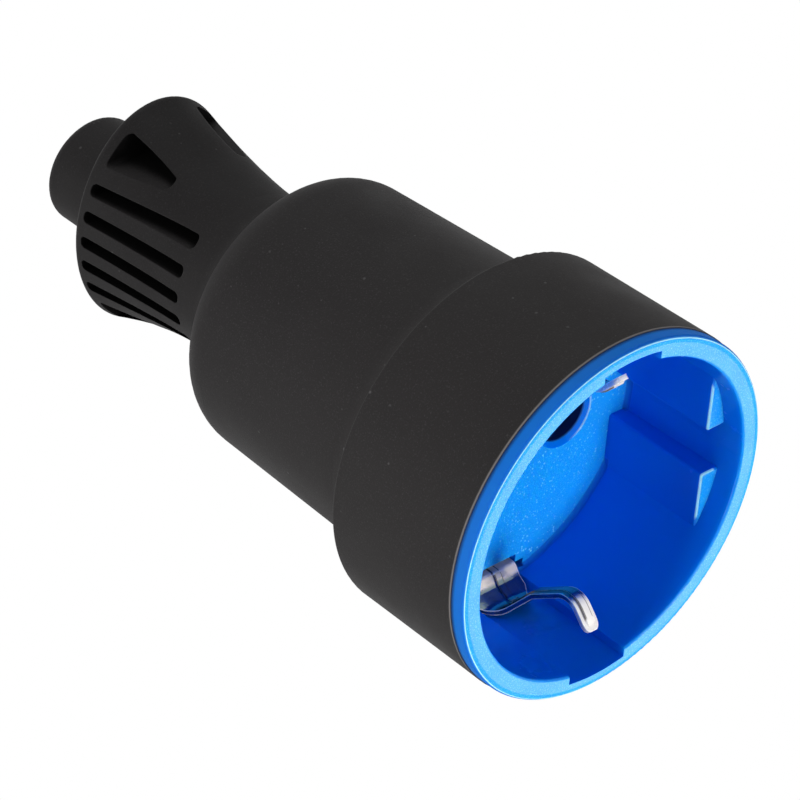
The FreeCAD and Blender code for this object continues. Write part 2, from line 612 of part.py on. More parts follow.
def build_socket_cup():
    """Flanged round recess with pin holes, guide ribs, earth notches and two screw bosses."""
    shell = turned("cup_shell", [
        ("0", "recess_depth"),
        ("recess_radius", "recess_depth", "floor_round"),
        ("mouth_radius", "0", "lip_inner_round"),
        ("lip_radius", "0", "lip_outer_round"),
        ("lip_radius", "lip_depth"),
        ("cup_radius", "lip_depth"),
        ("cup_radius", BLOCK_FRONT),
        ("0", BLOCK_FRONT),
    ])
    bosses = [rod(f"boss_{n}", "boss_radius", "boss_length", (x, y, BLOCK_FRONT))
              for n, (x, y) in enumerate(boss_places())]
    notch_box = block("notch_box", ("-notch_width / 2", "-lip_radius", "-spare"),
                      ("notch_width / 2", "lip_radius", "recess_depth"))
    notch_limit = rod("notch_limit", "notch_radius", "recess_depth + spare", ("0", "0", "-spare"))
    cuts = [overlap("notches", [notch_box, notch_limit])]
    for name, sign in SIDES.items():
        cuts.append(rod(f"{name}_hole", "pin_hole_radius", "floor_thickness + 2 * spare",
                        (f"{sign} * {PIN}", "0", "recess_depth - spare")))
        cuts.append(cone(f"{name}_entry", "pin_entry_radius", "pin_hole_radius", "pin_entry_depth",
                         (f"{sign} * {PIN}", "0", "recess_depth")))
        slot = block(f"{name}_spring_slot",
                     ("-spring_width / 2 - floor_slot_play", "floor_slot_inner", "recess_depth - spare"),
                     ("spring_width / 2 + floor_slot_play", "floor_slot_outer", f"{BLOCK_FRONT} + spare"))
        cuts.append(mirror(slot, 1, sign))
        side_slot = block(f"{name}_side_slot",
                          ("-spring_width / 2 - side_slot_play", "side_slot_start", "recess_depth - spare"),
                          ("spring_width / 2 + side_slot_play", "side_slot_end", f"{BLOCK_FRONT} + spare"))
        cuts.append(mirror(side_slot, 1, sign))
    cuts.append(block("spring_channel",
                      ("-spring_width / 2 - channel_play", "-floor_slot_outer",
                       f"{STRIP_FRONT} - spring_play"),
                      ("spring_width / 2 + channel_play", "floor_slot_outer", f"{BLOCK_FRONT} + spare")))
    cuts.append(rod("rivet_pocket", "rivet_head_radius + leg_play", "floor_thickness",
                    ("0", "rivet_offset", f"{STRIP_FRONT} - rivet_head_height - spring_play")))
    for n, (x, y) in enumerate(boss_places()):
        cuts.append(rod(f"boss_pilot_{n}", "boss_pilot_radius", "boss_length + spare",
                        (x, y, f"{BLOCK_FRONT} + spare / 2")))
    whole = fuse("cup_whole", [shell, build_ribs()] + bosses)
    return cut("socket_cup", whole, cuts)


def build_contact_carrier():
    """Round block behind the floor: chambers for the tube contacts and a channel for the earth leg."""
    drum = rod("carrier_drum", CARRIER_RADIUS, CARRIER_LENGTH, ("0", "0", BLOCK_FRONT))
    bead = rod("carrier_bead", f"{CARRIER_RADIUS} + bead_height", "bead_width",
               ("0", "0", f"{BLOCK_FRONT} + bead_start"))
    through = f"{CARRIER_LENGTH} + 2 * spare"
    start = f"{BLOCK_FRONT} - spare"
    cuts = [rod(f"{name}_chamber", "chamber_radius", through, (f"{sign} * {PIN}", "0", start))
            for name, sign in SIDES.items()]
    cuts.append(block("foot_recess",
                      ("-rivet_head_radius - leg_play", "leg_foot_start - leg_play", start),
                      ("rivet_head_radius + leg_play", "leg_outer + leg_play",
                       f"{BLOCK_FRONT} + spring_thickness + rivet_head_height + leg_play")))
    cuts.append(block("leg_channel",
                      ("-tail_width / 2 - leg_play", "leg_outer - spring_thickness - leg_play", start),
                      ("tail_width / 2 + leg_play", "leg_outer + leg_play", f"{COVER_FRONT} + spare")))
    for n, (x, y) in enumerate(boss_places()):
        cuts.append(rod(f"boss_pocket_{n}", "boss_radius + boss_play", "boss_length + boss_play + spare",
                        (x, y, start)))
        cuts.append(rod(f"carrier_hole_{n}", "long_screw_radius + screw_play", through, (x, y, start)))
    return cut("contact_carrier", fuse("carrier_whole", [drum, bead]), cuts)


def terminal_box(name, tail, grow, start, end):
    """The room of one terminal cage, in the frame of a terminal on +X whose tail ends there."""
    high = f"{tail} + terminal_seat + terminal_screw_wall"
    return block(name, (f"{high} - {TERMINAL_DEPTH} - {grow}", f"-terminal_width / 2 - {grow}", start),
                 (f"{high} + {grow}", f"terminal_width / 2 + {grow}", end))


TERMINALS = {"live": (PIN_TAIL, 0), "neutral": (PIN_TAIL, 180), "earth": ("leg_outer", 90)}


def hole_middle(tail):
    return f"({tail} + terminal_seat - terminal_hole / 2)"


def build_terminal_cover():
    """Round block behind the carrier: a pocket for each terminal cage and the saddle of the cord clamp."""
    drum = rod("cover_drum", CARRIER_RADIUS, "cover_length", ("0", "0", COVER_FRONT))
    saddle = block("saddle", ("-saddle_half_width", "-saddle_bottom", f"{COVER_END} - spare"),
                   ("saddle_half_width", "-clamp_split", f"{COVER_END} + saddle_length"))
    cuts = []
    for name, (tail, degrees) in TERMINALS.items():
        pocket = terminal_box(f"{name}_pocket_box", tail, "pocket_play", f"{COVER_FRONT} - spare",
                              f"{COVER_END} - cover_back")
        mouth = block(f"{name}_pocket_mouth",
                      (tail, "-terminal_width / 2 - pocket_play", f"{COVER_FRONT} - spare"),
                      ("cavity_radius + spare", "terminal_width / 2 + pocket_play",
                       f"{COVER_END} - cover_back"))
        wire = rod(f"{name}_wire_hole", "wire_hole_radius", "cover_back + 2 * spare",
                   (hole_middle(tail), "0", f"{COVER_END} - cover_back - spare"))
        cuts.append(turned_round(fuse(f"{name}_pocket", [pocket, mouth, wire]), degrees))
    for n, (x, y) in enumerate(boss_places()):
        cuts.append(rod(f"cover_hole_{n}", "long_screw_radius + screw_play", "cover_length + 2 * spare",
                        (x, y, f"{COVER_FRONT} - spare")))
        cuts.append(rod(f"cover_counterbore_{n}", "long_head_radius + screw_play", "long_head_sunk + spare",
                        (x, y, SCREW_SEAT)))
    cuts.append(rod("saddle_groove", "cord_groove_radius", "saddle_length + spare", ("0", "0", COVER_END)))
    for n, sign in enumerate((1, -1)):
        x = f"{sign} * cord_screw_offset"
        cuts.append(rod(f"saddle_hole_{n}", "cord_screw_radius + screw_play", "saddle_bottom + spare",
                        (x, "-saddle_bottom - spare", CLAMP_MIDDLE), "+y"))
        cuts.append(hexagon(f"nut_pocket_{n}", "nut_radius + nut_play", "nut_height + nut_play + spare",
                            (x, "-saddle_bottom - spare", CLAMP_MIDDLE), "+y"))
    return cut("terminal_cover", fuse("cover_whole", [drum, saddle]), cuts)


def build_contact(name, sign):
    """Slit tube that grips the pin, with a lead-in at its mouth and a flat tail to the terminal."""
    middle = f"{sign} * {PIN}"
    tube = rod(f"{name}_tube", CONTACT_RADIUS, "contact_length", (middle, "0", CONTACT_FRONT))
    tail_side = (f"{PIN_TAIL} - tail_thickness", "-tail_width / 2", f"{CONTACT_FRONT} + slit_length")
    tail = mirror(block(f"{name}_tail", tail_side, (PIN_TAIL, "tail_width / 2", TAIL_END)), sign, 1)
    bore = rod(f"{name}_bore", "contact_bore_radius", "contact_length + 2 * spare",
               (middle, "0", f"{CONTACT_FRONT} - spare"))
    lead = cone(f"{name}_lead", "contact_bore_radius + contact_lead", "contact_bore_radius", "contact_lead",
                (middle, "0", CONTACT_FRONT))
    slit = block(f"{name}_slit",
                 (f"{middle} - slit_width / 2", "-chamber_radius", f"{CONTACT_FRONT} - spare"),
                 (f"{middle} + slit_width / 2", "chamber_radius", f"{CONTACT_FRONT} + slit_length"))
    return cut(f"{name}_contact", fuse(f"{name}_tube_and_tail", [tube, tail]), [bore, lead, slit])


def build_contact_spring(name, sign):
    """Open steel ring that presses the halves of the tube contact together."""
    middle = f"{sign} * {PIN}"
    start = f"{BLOCK_FRONT} + clip_start"
    ring = rod(f"{name}_clip_ring", f"{CLIP_BORE} + clip_thickness", "clip_length", (middle, "0", start))
    bore = rod(f"{name}_clip_bore", CLIP_BORE, "clip_length + 2 * spare", (middle, "0", f"{start} - spare"))
    gap = block(f"{name}_clip_gap", (f"{PIN} - chamber_radius", "-clip_opening / 2", f"{start} - spare"),
                (PIN, "clip_opening / 2", f"{start} + clip_length + spare"))
    return cut(f"{name}_contact_spring", ring, [bore, mirror(gap, sign, 1)])


def build_terminal(name):
    """Brass cage with a square wire hole along the axis and a threaded side that faces outwards."""
    tail, degrees = TERMINALS[name]
    cage = terminal_box(f"{name}_cage", tail, "0", TERMINAL_FRONT, f"{TERMINAL_FRONT} + {TERMINAL_LENGTH}")
    inner = f"{tail} + terminal_seat"
    hole = block(f"{name}_cage_hole",
                 (f"{inner} - terminal_hole", "-terminal_hole / 2", f"{TERMINAL_FRONT} - spare"),
                 (inner, "terminal_hole / 2", f"{COVER_END}"))
    thread = rod(f"{name}_thread", "clamp_screw_radius + screw_play", "terminal_screw_wall + 2 * spare",
                 (f"{inner} - spare", "0", TERMINAL_MIDDLE), "+x")
    return turned_round(cut(f"{name}_terminal", cage, [hole, thread]), degrees)


def build_terminal_screw(name):
    """Slotted screw whose end presses the tail and the wire together."""
    tail, degrees = TERMINALS[name]
    grip = "terminal_seat + terminal_screw_wall"
    seat = f"{tail} + {grip}"
    shank = rod(f"{name}_screw_shank", "clamp_screw_radius", grip, (tail, "0", TERMINAL_MIDDLE), "+x")
    head = rod(f"{name}_screw_head", "clamp_head_radius", "clamp_head_height",
               (seat, "0", TERMINAL_MIDDLE), "+x")
    top = f"{seat} + clamp_head_height"
    slot = block(f"{name}_screw_slot",
                 (f"{top} - driver_slot_depth", "-clamp_head_radius - spare",
                  f"{TERMINAL_MIDDLE} - driver_slot_width / 2"),
                 (f"{top} + spare", "clamp_head_radius + spare",
                  f"{TERMINAL_MIDDLE} + driver_slot_width / 2"))
    whole = fuse(f"{name}_screw_whole", [shank, head])
    return turned_round(cut(f"{name}_terminal_screw", whole, [slot]), degrees)


def build_earth_contact():
    """One strip that crosses behind the floor and comes through it as a scraping spring on each side."""
    body = doc.addObject("PartDesign::Body", "earth_strip")
    middle = f"{STRIP_FRONT} + spring_thickness / 2"
    path = new_sketch(body, "strip_path", "YZ_Plane")
    outline(path, [
        ("0", middle),
        ("spring_rise", middle, "bend_rise"),
        ("spring_rise", "spring_rise_end", "bend_lean"),
        ("spring_dip", "spring_dip_height", "bend_dip"),
        ("spring_peak", "spring_peak_height", "bend_peak"),
        ("spring_tip", "spring_tip_height"),
    ], closed=False)
    section = new_sketch(body, "strip_section", "XZ_Plane")
    outline(section, [
        ("-spring_width / 2", STRIP_FRONT),
        ("spring_width / 2", STRIP_FRONT),
        ("spring_width / 2", BLOCK_FRONT),
        ("-spring_width / 2", BLOCK_FRONT),
    ])
    doc.recompute()
    strip = body.newObject("PartDesign::AdditivePipe", "strip_bent")
    strip.Profile = section
    strip.Spine = (path, [f"Edge{n}" for n in range(1, len(path.Shape.Edges) + 1)])
    halves = body.newObject("PartDesign::Mirrored", "strip_both_sides")
    halves.Originals = [strip]
    halves.MirrorPlane = (origin_feature(body, "XZ_Plane"), [""])
    body.Tip = halves
    below = "spring_tip_height - 2 * spring_thickness"
    sides = []
    for sign in (1, -1):
        edge = f"tongue_shift + {sign} * tongue_width / 2"
        sides.append([
            (edge, "tongue_start", "tongue_fillet"),
            (edge, "spring_tip_height + tongue_corner_length"),
            (f"{edge} - {sign} * tongue_corner", "spring_tip_height - tongue_corner_length / 2"),
            (f"{edge} - {sign} * tongue_corner", below),
            (f"{sign} * spring_width", below),
            (f"{sign} * spring_width / 2", "tongue_start + tongue_taper"),
            (f"{sign} * spring_width", "tongue_start + tongue_taper"),
        ])
    trims = plate("tongue_trims", "XZ_Plane", sides, "4 * lip_radius")
    rivet_hole = rod("strip_rivet_hole", "rivet_radius + rivet_play", "floor_thickness",
                     ("0", "rivet_offset", f"{BLOCK_FRONT} - floor_thickness / 2"))
    return cut("earth_contact", body, [trims, rivet_hole])


def build_earth_leg():
    """Bent strap that is riveted to the earth strip and runs back to the earth terminal."""
    strap = plate("leg_strap", "YZ_Plane", [[
        ("leg_foot_start", BLOCK_FRONT),
        ("leg_outer", BLOCK_FRONT, "leg_bend"),
        ("leg_outer", TAIL_END),
        ("leg_outer - spring_thickness", TAIL_END),
        ("leg_outer - spring_thickness", f"{BLOCK_FRONT} + spring_thickness"),
        ("leg_foot_start", f"{BLOCK_FRONT} + spring_thickness"),
    ]], "tail_width")
    hole = rod("leg_rivet_hole", "rivet_radius + rivet_play", "floor_thickness",
               ("0", "rivet_offset", f"{BLOCK_FRONT} - spring_thickness"))
    return cut("earth_leg", strap, [hole])


def build_earth_rivet():
    heads = [
        rod("rivet_front_head", "rivet_head_radius", "rivet_head_height",
            ("0", "rivet_offset", f"{STRIP_FRONT} - rivet_head_height")),
        rod("rivet_rear_head", "rivet_head_radius", "rivet_head_height",
            ("0", "rivet_offset", f"{BLOCK_FRONT} + spring_thickness")),
    ]
    shank = rod("rivet_shank", "rivet_radius", "2 * spring_thickness", ("0", "rivet_offset", STRIP_FRONT))
    return fuse("earth_rivet", heads + [shank])


def build_carrier_screws():
    """Two long screws that pull the terminal block and the carrier onto the cup's bosses."""
    screws = []
    for n, (x, y) in enumerate(boss_places()):
        boss_end = f"({BLOCK_FRONT} + boss_length)"
        shank = rod(f"long_shank_{n}", "long_screw_radius", f"{SCREW_SEAT} - {boss_end}", (x, y, boss_end))
        thread = rod(f"long_thread_{n}", "boss_pilot_radius", "long_screw_reach",
                     (x, y, f"{boss_end} - long_screw_reach"))
        head = rod(f"long_head_{n}", "long_head_radius", "long_head_height", (x, y, SCREW_SEAT))
        slot = block(f"long_slot_{n}",
                     (f"{x} - long_head_radius - spare", f"{y} - driver_slot_width / 2",
                      f"{SCREW_SEAT} + long_head_height - driver_slot_depth"),
                     (f"{x} + long_head_radius + spare", f"{y} + driver_slot_width / 2",
                      f"{SCREW_SEAT} + long_head_height + spare"))
        screws.append(cut(f"long_screw_{n}", fuse(f"long_whole_{n}", [shank, thread, head]), [slot]))
    return group("carrier_screws", screws)


def build_cord_clamp():
    """Bar with a half-round groove that holds the cord on the saddle."""
    low = ("-saddle_half_width", "clamp_split", f"{COVER_END} + clamp_play")
    high = ("saddle_half_width", "clamp_top", f"{COVER_END} + saddle_length")
    bar = block("clamp_bar", low, high)
    doc.recompute()
    rounded = doc.addObject("Part::Fillet", "clamp_bar_rounded")
    rounded.Base = bar
    corner = value("clamp_corner")
    outer = [n for n, edge in enumerate(bar.Shape.Edges, start=1)
             if edge.BoundBox.YMin > value("clamp_top") - NEAR and edge.BoundBox.XLength < NEAR]
    rounded.Edges = [(n, corner, corner) for n in outer]
    groove = rod("clamp_groove", "cord_groove_radius", "saddle_length + 2 * spare",
                 ("0", "0", f"{COVER_END} - spare"))
    holes = [rod(f"clamp_hole_{n}", "cord_screw_radius + screw_play", "clamp_top + spare",
                 (f"{sign} * cord_screw_offset", "0", CLAMP_MIDDLE), "+y") for n, sign in enumerate((1, -1))]
    return cut("cord_clamp", rounded, [groove] + holes)


def build_cord_clamp_screws():
    screws = []
    for n, sign in enumerate((1, -1)):
        x = f"{sign} * cord_screw_offset"
        shank = rod(f"clamp_shank_{n}", "cord_screw_radius", "clamp_top + saddle_bottom - nut_play",
                    (x, "-saddle_bottom + nut_play", CLAMP_MIDDLE), "+y")
        head = rod(f"clamp_head_{n}", "cord_head_radius", "cord_head_height",
                   (x, "clamp_top", CLAMP_MIDDLE), "+y")
        slot = block(f"clamp_slot_{n}",
                     (f"{x} - driver_slot_width / 2", "clamp_top + cord_head_height - driver_slot_depth",
                      f"{CLAMP_MIDDLE} - cord_head_radius - spare"),
                     (f"{x} + driver_slot_width / 2", "clamp_top + cord_head_height + spare",
                      f"{CLAMP_MIDDLE} + cord_head_radius + spare"))
        screws.append(cut(f"clamp_screw_{n}", fuse(f"clamp_screw_whole_{n}", [shank, head]), [slot]))
    return group("cord_clamp_screws", screws)


def build_cord_clamp_nuts():
    nuts = []
    for n, sign in enumerate((1, -1)):
        x = f"{sign} * cord_screw_offset"
        body = hexagon(f"nut_body_{n}", "nut_radius", "nut_height",
                       (x, "-saddle_bottom", CLAMP_MIDDLE), "+y")
        thread = rod(f"nut_thread_{n}", "cord_screw_radius + screw_play / 2", "nut_height + 2 * spare",
                     (x, "-saddle_bottom - spare", CLAMP_MIDDLE), "+y")
        nuts.append(cut(f"nut_{n}", body, [thread]))
    return group("cord_clamp_nuts", nuts)


def build_pieces():
    pieces = [build_rubber_housing(), build_socket_cup(), build_contact_carrier(), build_terminal_cover()]
    for name, sign in SIDES.items():
        pieces.append(build_contact(name, sign))
        pieces.append(build_contact_spring(name, sign))
    for name in TERMINALS:
        pieces.append(build_terminal(name))
        pieces.append(build_terminal_screw(name))
    pieces += [build_earth_contact(), build_earth_leg(), build_earth_rivet(), build_carrier_screws()]
    pieces += [build_cord_clamp(), build_cord_clamp_screws(), build_cord_clamp_nuts()]
    return pieces


def check_objects(pieces):
    failed = [item.Label for item in doc.Objects if "Invalid" in item.State or "Error" in item.State]
    if failed:
        raise RuntimeError("these objects failed: " + ", ".join(failed))
    for piece in pieces:
        if piece.Shape.isNull() or not piece.Shape.isValid() or not piece.Shape.Solids:
            raise RuntimeError("this piece has no valid solid: " + piece.Label)


def export_pieces(pieces):
    os.makedirs("parts", exist_ok=True)
    for piece in pieces:
        piece.Shape.exportStep(f"parts/{piece.Label}.step")
        box = piece.Shape.BoundBox
        print(f"{piece.Label}: {len(piece.Shape.Solids)} solid, {piece.Shape.Volume:.1f} mm3, "
              f"{box.XLength:.2f} x {box.YLength:.2f} x {box.ZLength:.2f} mm")


finished = build_pieces()
doc.recompute()
check_objects(finished)
export_pieces(finished)
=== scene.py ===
import json
import math
import bpy
from mathutils import Matrix, Vector


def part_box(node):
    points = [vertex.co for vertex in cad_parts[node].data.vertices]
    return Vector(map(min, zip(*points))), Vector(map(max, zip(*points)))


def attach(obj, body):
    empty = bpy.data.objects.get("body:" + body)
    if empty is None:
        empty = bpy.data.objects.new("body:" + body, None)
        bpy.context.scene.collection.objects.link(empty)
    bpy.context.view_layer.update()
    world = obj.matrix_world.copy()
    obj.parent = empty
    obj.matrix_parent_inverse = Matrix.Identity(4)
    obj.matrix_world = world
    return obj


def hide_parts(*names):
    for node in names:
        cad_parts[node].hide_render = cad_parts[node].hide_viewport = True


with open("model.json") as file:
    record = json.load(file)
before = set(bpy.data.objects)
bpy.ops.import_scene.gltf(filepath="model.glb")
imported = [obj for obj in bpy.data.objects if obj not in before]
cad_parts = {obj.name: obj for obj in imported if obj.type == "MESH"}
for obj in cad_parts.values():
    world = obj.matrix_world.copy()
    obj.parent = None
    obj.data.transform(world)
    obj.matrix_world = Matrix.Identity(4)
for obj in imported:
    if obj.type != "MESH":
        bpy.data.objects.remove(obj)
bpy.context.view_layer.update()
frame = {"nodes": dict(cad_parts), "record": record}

# Inline socket connector, standing on the rim of its recess with the cord end up.
# Metres: the origin is the centre of the rim, +Z runs to the cord end, X through the pin holes.

MM = 0.001

RUBBER_BLACK = (0.0128, 0.0118, 0.0121)
RUBBER_WORN_AND_LIT = (0.240, 0.225, 0.220)
RUBBER_DUST = (0.120, 0.118, 0.120)
RUBBER_SHADE = (0.00128, 0.00118, 0.00121)
CUP_LIT_FACE = (0.0, 0.340, 0.920)
CUP_SHADED_WALL = (0.0, 0.205, 0.800)
CUP_SHADE = (0.0, 0.028, 0.120)
CUP_GRIT_AND_GLINT = (0.210, 0.710, 1.0)
CUP_EDGE_HIGHLIGHT = (0.480, 0.940, 1.0)
NICKEL = (0.80, 0.77, 0.73)
NICKEL_HIGHLIGHT = (0.97, 0.93, 0.87)
NICKEL_WARM_HIGHLIGHT = (1.0, 0.84, 0.62)
NICKEL_DARK_REFLECTION = (0.06, 0.14, 0.19)
DARK_LINE_REFLECTION = (0.085, 0.075, 0.065)
BRASS = (0.76, 0.57, 0.27)
ZINC = (0.68, 0.68, 0.70)
SPRING_STEEL = (0.52, 0.53, 0.55)
BLOCK_GREY = (0.050, 0.050, 0.053)
FLOOR_PALE = (0.93, 0.93, 0.93)
WHITE = (1.0, 1.0, 1.0, 1.0)


# Node helpers

def new_node(tree, kind, **settings):
    node = tree.nodes.new(kind)
    for name, value in settings.items():
        setattr(node, name, value)
    return node


def remap(tree, value, low, high, to_low, to_high, smooth=True):
    node = new_node(tree, "ShaderNodeMapRange")
    node.interpolation_type = "SMOOTHSTEP" if smooth else "LINEAR"
    node.inputs["From Min"].default_value = low
    node.inputs["From Max"].default_value = high
    node.inputs["To Min"].default_value = to_low
    node.inputs["To Max"].default_value = to_high
    tree.links.new(value, node.inputs["Value"])
    return node.outputs["Result"]


def maths(tree, operation, first, second=0.0):
    node = new_node(tree, "ShaderNodeMath", operation=operation)
    for socket, item in zip(node.inputs, (first, second)):
        if isinstance(item, (int, float)):
            socket.default_value = item
        else:
            tree.links.new(item, socket)
    return node.outputs[0]


def times(tree, first, *others):
    for other in others:
        first = maths(tree, "MULTIPLY", first, other)
    return first


def largest(tree, first, *others):
    for other in others:
        first = maths(tree, "MAXIMUM", first, other)
    return first


def plus(tree, first, second):
    return maths(tree, "ADD", first, second)


def minus(tree, first, second):
    return maths(tree, "SUBTRACT", first, second)


def noise_field(tree, coords, scale, detail, rough):
    node = new_node(tree, "ShaderNodeTexNoise")
    node.inputs["Detail"].default_value = detail
    node.inputs["Roughness"].default_value = rough
    tree.links.new(coords, node.inputs["Vector"])
    if isinstance(scale, (int, float)):
        node.inputs["Scale"].default_value = scale
    else:
        tree.links.new(scale, node.inputs["Scale"])
    return node.outputs["Fac"]


def place_of(tree, axis):
    """One object coordinate of the surface, in metres."""
    coords = new_node(tree, "ShaderNodeTexCoord").outputs["Object"]
    apart = new_node(tree, "ShaderNodeSeparateXYZ")
    tree.links.new(coords, apart.inputs["Vector"])
    return apart.outputs[axis]


def axis_distance(tree, centre_x):
    """How far a surface point lies from the upright line through a place on the X axis, in metres."""
    across = minus(tree, place_of(tree, "X"), centre_x)
    along = place_of(tree, "Y")
    square = plus(tree, times(tree, across, across), times(tree, along, along))
    return maths(tree, "SQRT", square)


def ring_line(tree, centre_x, radius, half_width):
    """A thin ring: 1 on the circle, fading to 0 at each side."""
    away = maths(tree, "ABSOLUTE", minus(tree, axis_distance(tree, centre_x), radius))
    return remap(tree, away, 0.0, half_width, 1.0, 0.0)


def group_tree(name, inputs, outputs):
    """An empty node group with named number inputs and named outputs."""
    tree = bpy.data.node_groups.new(name, "ShaderNodeTree")
    for label in inputs:
        tree.interface.new_socket(label, in_out="INPUT", socket_type="NodeSocketFloat")
    for label in outputs:
        tree.interface.new_socket(label, in_out="OUTPUT", socket_type="NodeSocketFloat")
    entry = new_node(tree, "NodeGroupInput")
    leave = new_node(tree, "NodeGroupOutput")
    return tree, entry, leave


def build_grain():
    """Fine moulded or blasted grain with a slow unevenness: a height and a mottling mask."""
    tree, entry, leave = group_tree("moulded_grain", ["Scale", "Slow scale"], ["Height", "Mottle"])
    coords = new_node(tree, "ShaderNodeTexCoord").outputs["Object"]
    fine = noise_field(tree, coords, entry.outputs["Scale"], 3.0, 0.6)
    slow = noise_field(tree, coords, entry.outputs["Slow scale"], 4.0, 0.55)
    tree.links.new(fine, leave.inputs["Height"])
    tree.links.new(slow, leave.inputs["Mottle"])
    return tree


def build_specks():
    """Scattered round specks of uneven size and brightness: a mask from 0 to 1."""
    tree, entry, leave = group_tree("scattered_specks", ["Scale", "Size", "Share"], ["Mask"])
    coords = new_node(tree, "ShaderNodeTexCoord").outputs["Object"]
    cells = new_node(tree, "ShaderNodeTexVoronoi", feature="F1")
    tree.links.new(coords, cells.inputs["Vector"])
    tree.links.new(entry.outputs["Scale"], cells.inputs["Scale"])
    pick = new_node(tree, "ShaderNodeSeparateColor")
    tree.links.new(cells.outputs["Color"], pick.inputs["Color"])
    chosen = maths(tree, "LESS_THAN", pick.outputs["Red"], entry.outputs["Share"])
    spread = times(tree, entry.outputs["Size"], pick.outputs["Green"])
    depth = minus(tree, spread, cells.outputs["Distance"])
    soft = maths(tree, "DIVIDE", depth, times(tree, entry.outputs["Size"], 0.35))
    near = remap(tree, soft, 0.0, 1.0, 0.0, 1.0)
    strength = times(tree, near, remap(tree, pick.outputs["Blue"], 0.0, 1.0, 0.35, 1.0, False))
    tree.links.new(times(tree, chosen, strength), leave.inputs["Mask"])
    return tree


GRAIN = build_grain()
SPECKS = build_specks()


def place_group(tree, group, **values):
    node = new_node(tree, "ShaderNodeGroup")
    node.node_tree = group
    for name, value in values.items():
        node.inputs[name.replace("_", " ")].default_value = value
    return node


def new_material(name):
    material = bpy.data.materials.new(name)
    material.use_nodes = True
    tree = material.node_tree
    tree.nodes.clear()
    shader = new_node(tree, "ShaderNodeBsdfPrincipled")
    output = new_node(tree, "ShaderNodeOutputMaterial")
    tree.links.new(shader.outputs["BSDF"], output.inputs["Surface"])
    return material, tree, shader


def mix_colours(tree, mask, first, second):
    node = new_node(tree, "ShaderNodeMix", data_type="RGBA")
    tree.links.new(mask, node.inputs["Factor"])
    for socket, item in (("A", first), ("B", second)):
        target = next(s for s in node.inputs if s.name == socket and s.type == "RGBA")
        if isinstance(item, tuple):
            target.default_value = (*item, 1.0)
        else:
            tree.links.new(item, target)
    return next(s for s in node.outputs if s.type == "RGBA")


def bump(tree, shader, height, distance, strength, edge=None):
    """Bump in metres; with an edge radius, sharp edges also catch the light as rounded ones do."""
    node = new_node(tree, "ShaderNodeBump")
    node.inputs["Strength"].default_value = strength
    node.inputs["Distance"].default_value = distance
    tree.links.new(height, node.inputs["Height"])
    if edge:
        soft = new_node(tree, "ShaderNodeBevel", samples=6)
        soft.inputs["Radius"].default_value = edge
        tree.links.new(soft.outputs["Normal"], node.inputs["Normal"])
    tree.links.new(node.outputs["Normal"], shader.inputs["Normal"])


def open_share(tree, reach, inside=False):
    """How open the space over a point is; inside the solid it is low only near its outer edges."""
    node = new_node(tree, "ShaderNodeAmbientOcclusion", samples=12, inside=inside, only_local=True)
    node.inputs["Distance"].default_value = reach
    return node.outputs["AO"]


def scaled(colour, factor):
    return tuple(channel * factor for channel in colour)


# Sizes of the earth strip

STRIP_THICKNESS = 0.6 * MM
# Corners of the strip's middle line on the +Y side: distance from the axis, height, bend radius.
STRIP_CORNERS = [
    (17.75, 19.6, 0.8),
    (17.75, 17.4, 0.35),
    (18.95, 16.5, 0.8),
    (20.55, 14.0, 1.5),
    (16.95, 11.0, 1.8),
    (13.45, 5.5, 2.2),
    (16.90, 2.3, 0.0),
]
# Half the width of the strip, and of its tongue on each side of the bead's middle.
STRIP_HALF = 3.7 * MM
TONGUE_HALF = 1.05 * MM
# The bead lies to one side of the strip's middle, and the tongue a little further.
BEAD_MIDDLE = 0.70 * MM
TONGUE_SHIFT = 0.50 * MM
BEAD_FOOT = 0.52 * MM
BEAD_TOP = 0.36 * MM
BEAD_RISE = 0.22 * MM
BEAD_START = 17.3 * MM
NARROWING_TOP = 15.4 * MM
NARROWING_END = 11.0 * MM
NARROWING_STEPS = 12
NARROWING_CURVE = 1.5
# Below this height the tongue points outwards.
OUTWARD_TURN = 4.5 * MM
TIP_HEIGHT = 2.3 * MM
BEAD_END = TIP_HEIGHT + 0.5 * MM
RIVET_HOLE = 1.25 * MM
EDGE_ROUND = 0.15 * MM
# Lines drawn along the strip, as distances from the bead's middle.
LONG_LINES = (-2.4 * MM, -BEAD_FOOT, -BEAD_TOP, 0.0, BEAD_TOP, BEAD_FOOT, 1.8 * MM)
# Height of a row above the tongue's end, and its share of the tongue's width.
TIP_ROWS = [(0.0, 0.45), (0.07, 0.62), (0.22, 0.80), (0.45, 0.93), (0.75, 1.0)]
# Points this close to each other count as one row.
SAME_ROW = 0.01 * MM


# Finishes

# A band is a pair of metres: where a tone begins and where it ends.
# On the rubber, as heights over the rim.
WORN_FRONT = (1.95 * MM, 2.22 * MM)
LIT_SLEEVE = (18.0 * MM, 52.0 * MM)
DARKER_TAIL = (48.0 * MM, 64.0 * MM)
# How near the other walls of a slot are.
SLOT_REACH = 6.0 * MM

# On the socket cup, as heights over the rim.
LIP_GAP = (1.30 * MM, 1.85 * MM)
MOUTH_LIGHT = (0.25 * MM, 0.90 * MM)
RIB_FRONT = 3.10 * MM
RIB_LINE = (0.10 * MM, 0.22 * MM)
RECESS_DEPTHS = (1.0 * MM, 16.0 * MM)
FLOOR_CORNER = (16.7 * MM, 16.95 * MM)
PIN_HOLE_DEPTHS = (16.0 * MM, 17.0 * MM)
# On the socket cup, as distances from its axis.
WALL_FOOT = (18.95 * MM, 19.15 * MM)
RIB_REACH = (19.0 * MM, 19.3 * MM)
MOUTH_WALL = (20.2 * MM, 20.5 * MM)
LIP_SIDE = (21.4 * MM, 21.6 * MM)
LIP_EDGE = 22.01 * MM
LIP_EDGE_WIDTH = 0.10 * MM
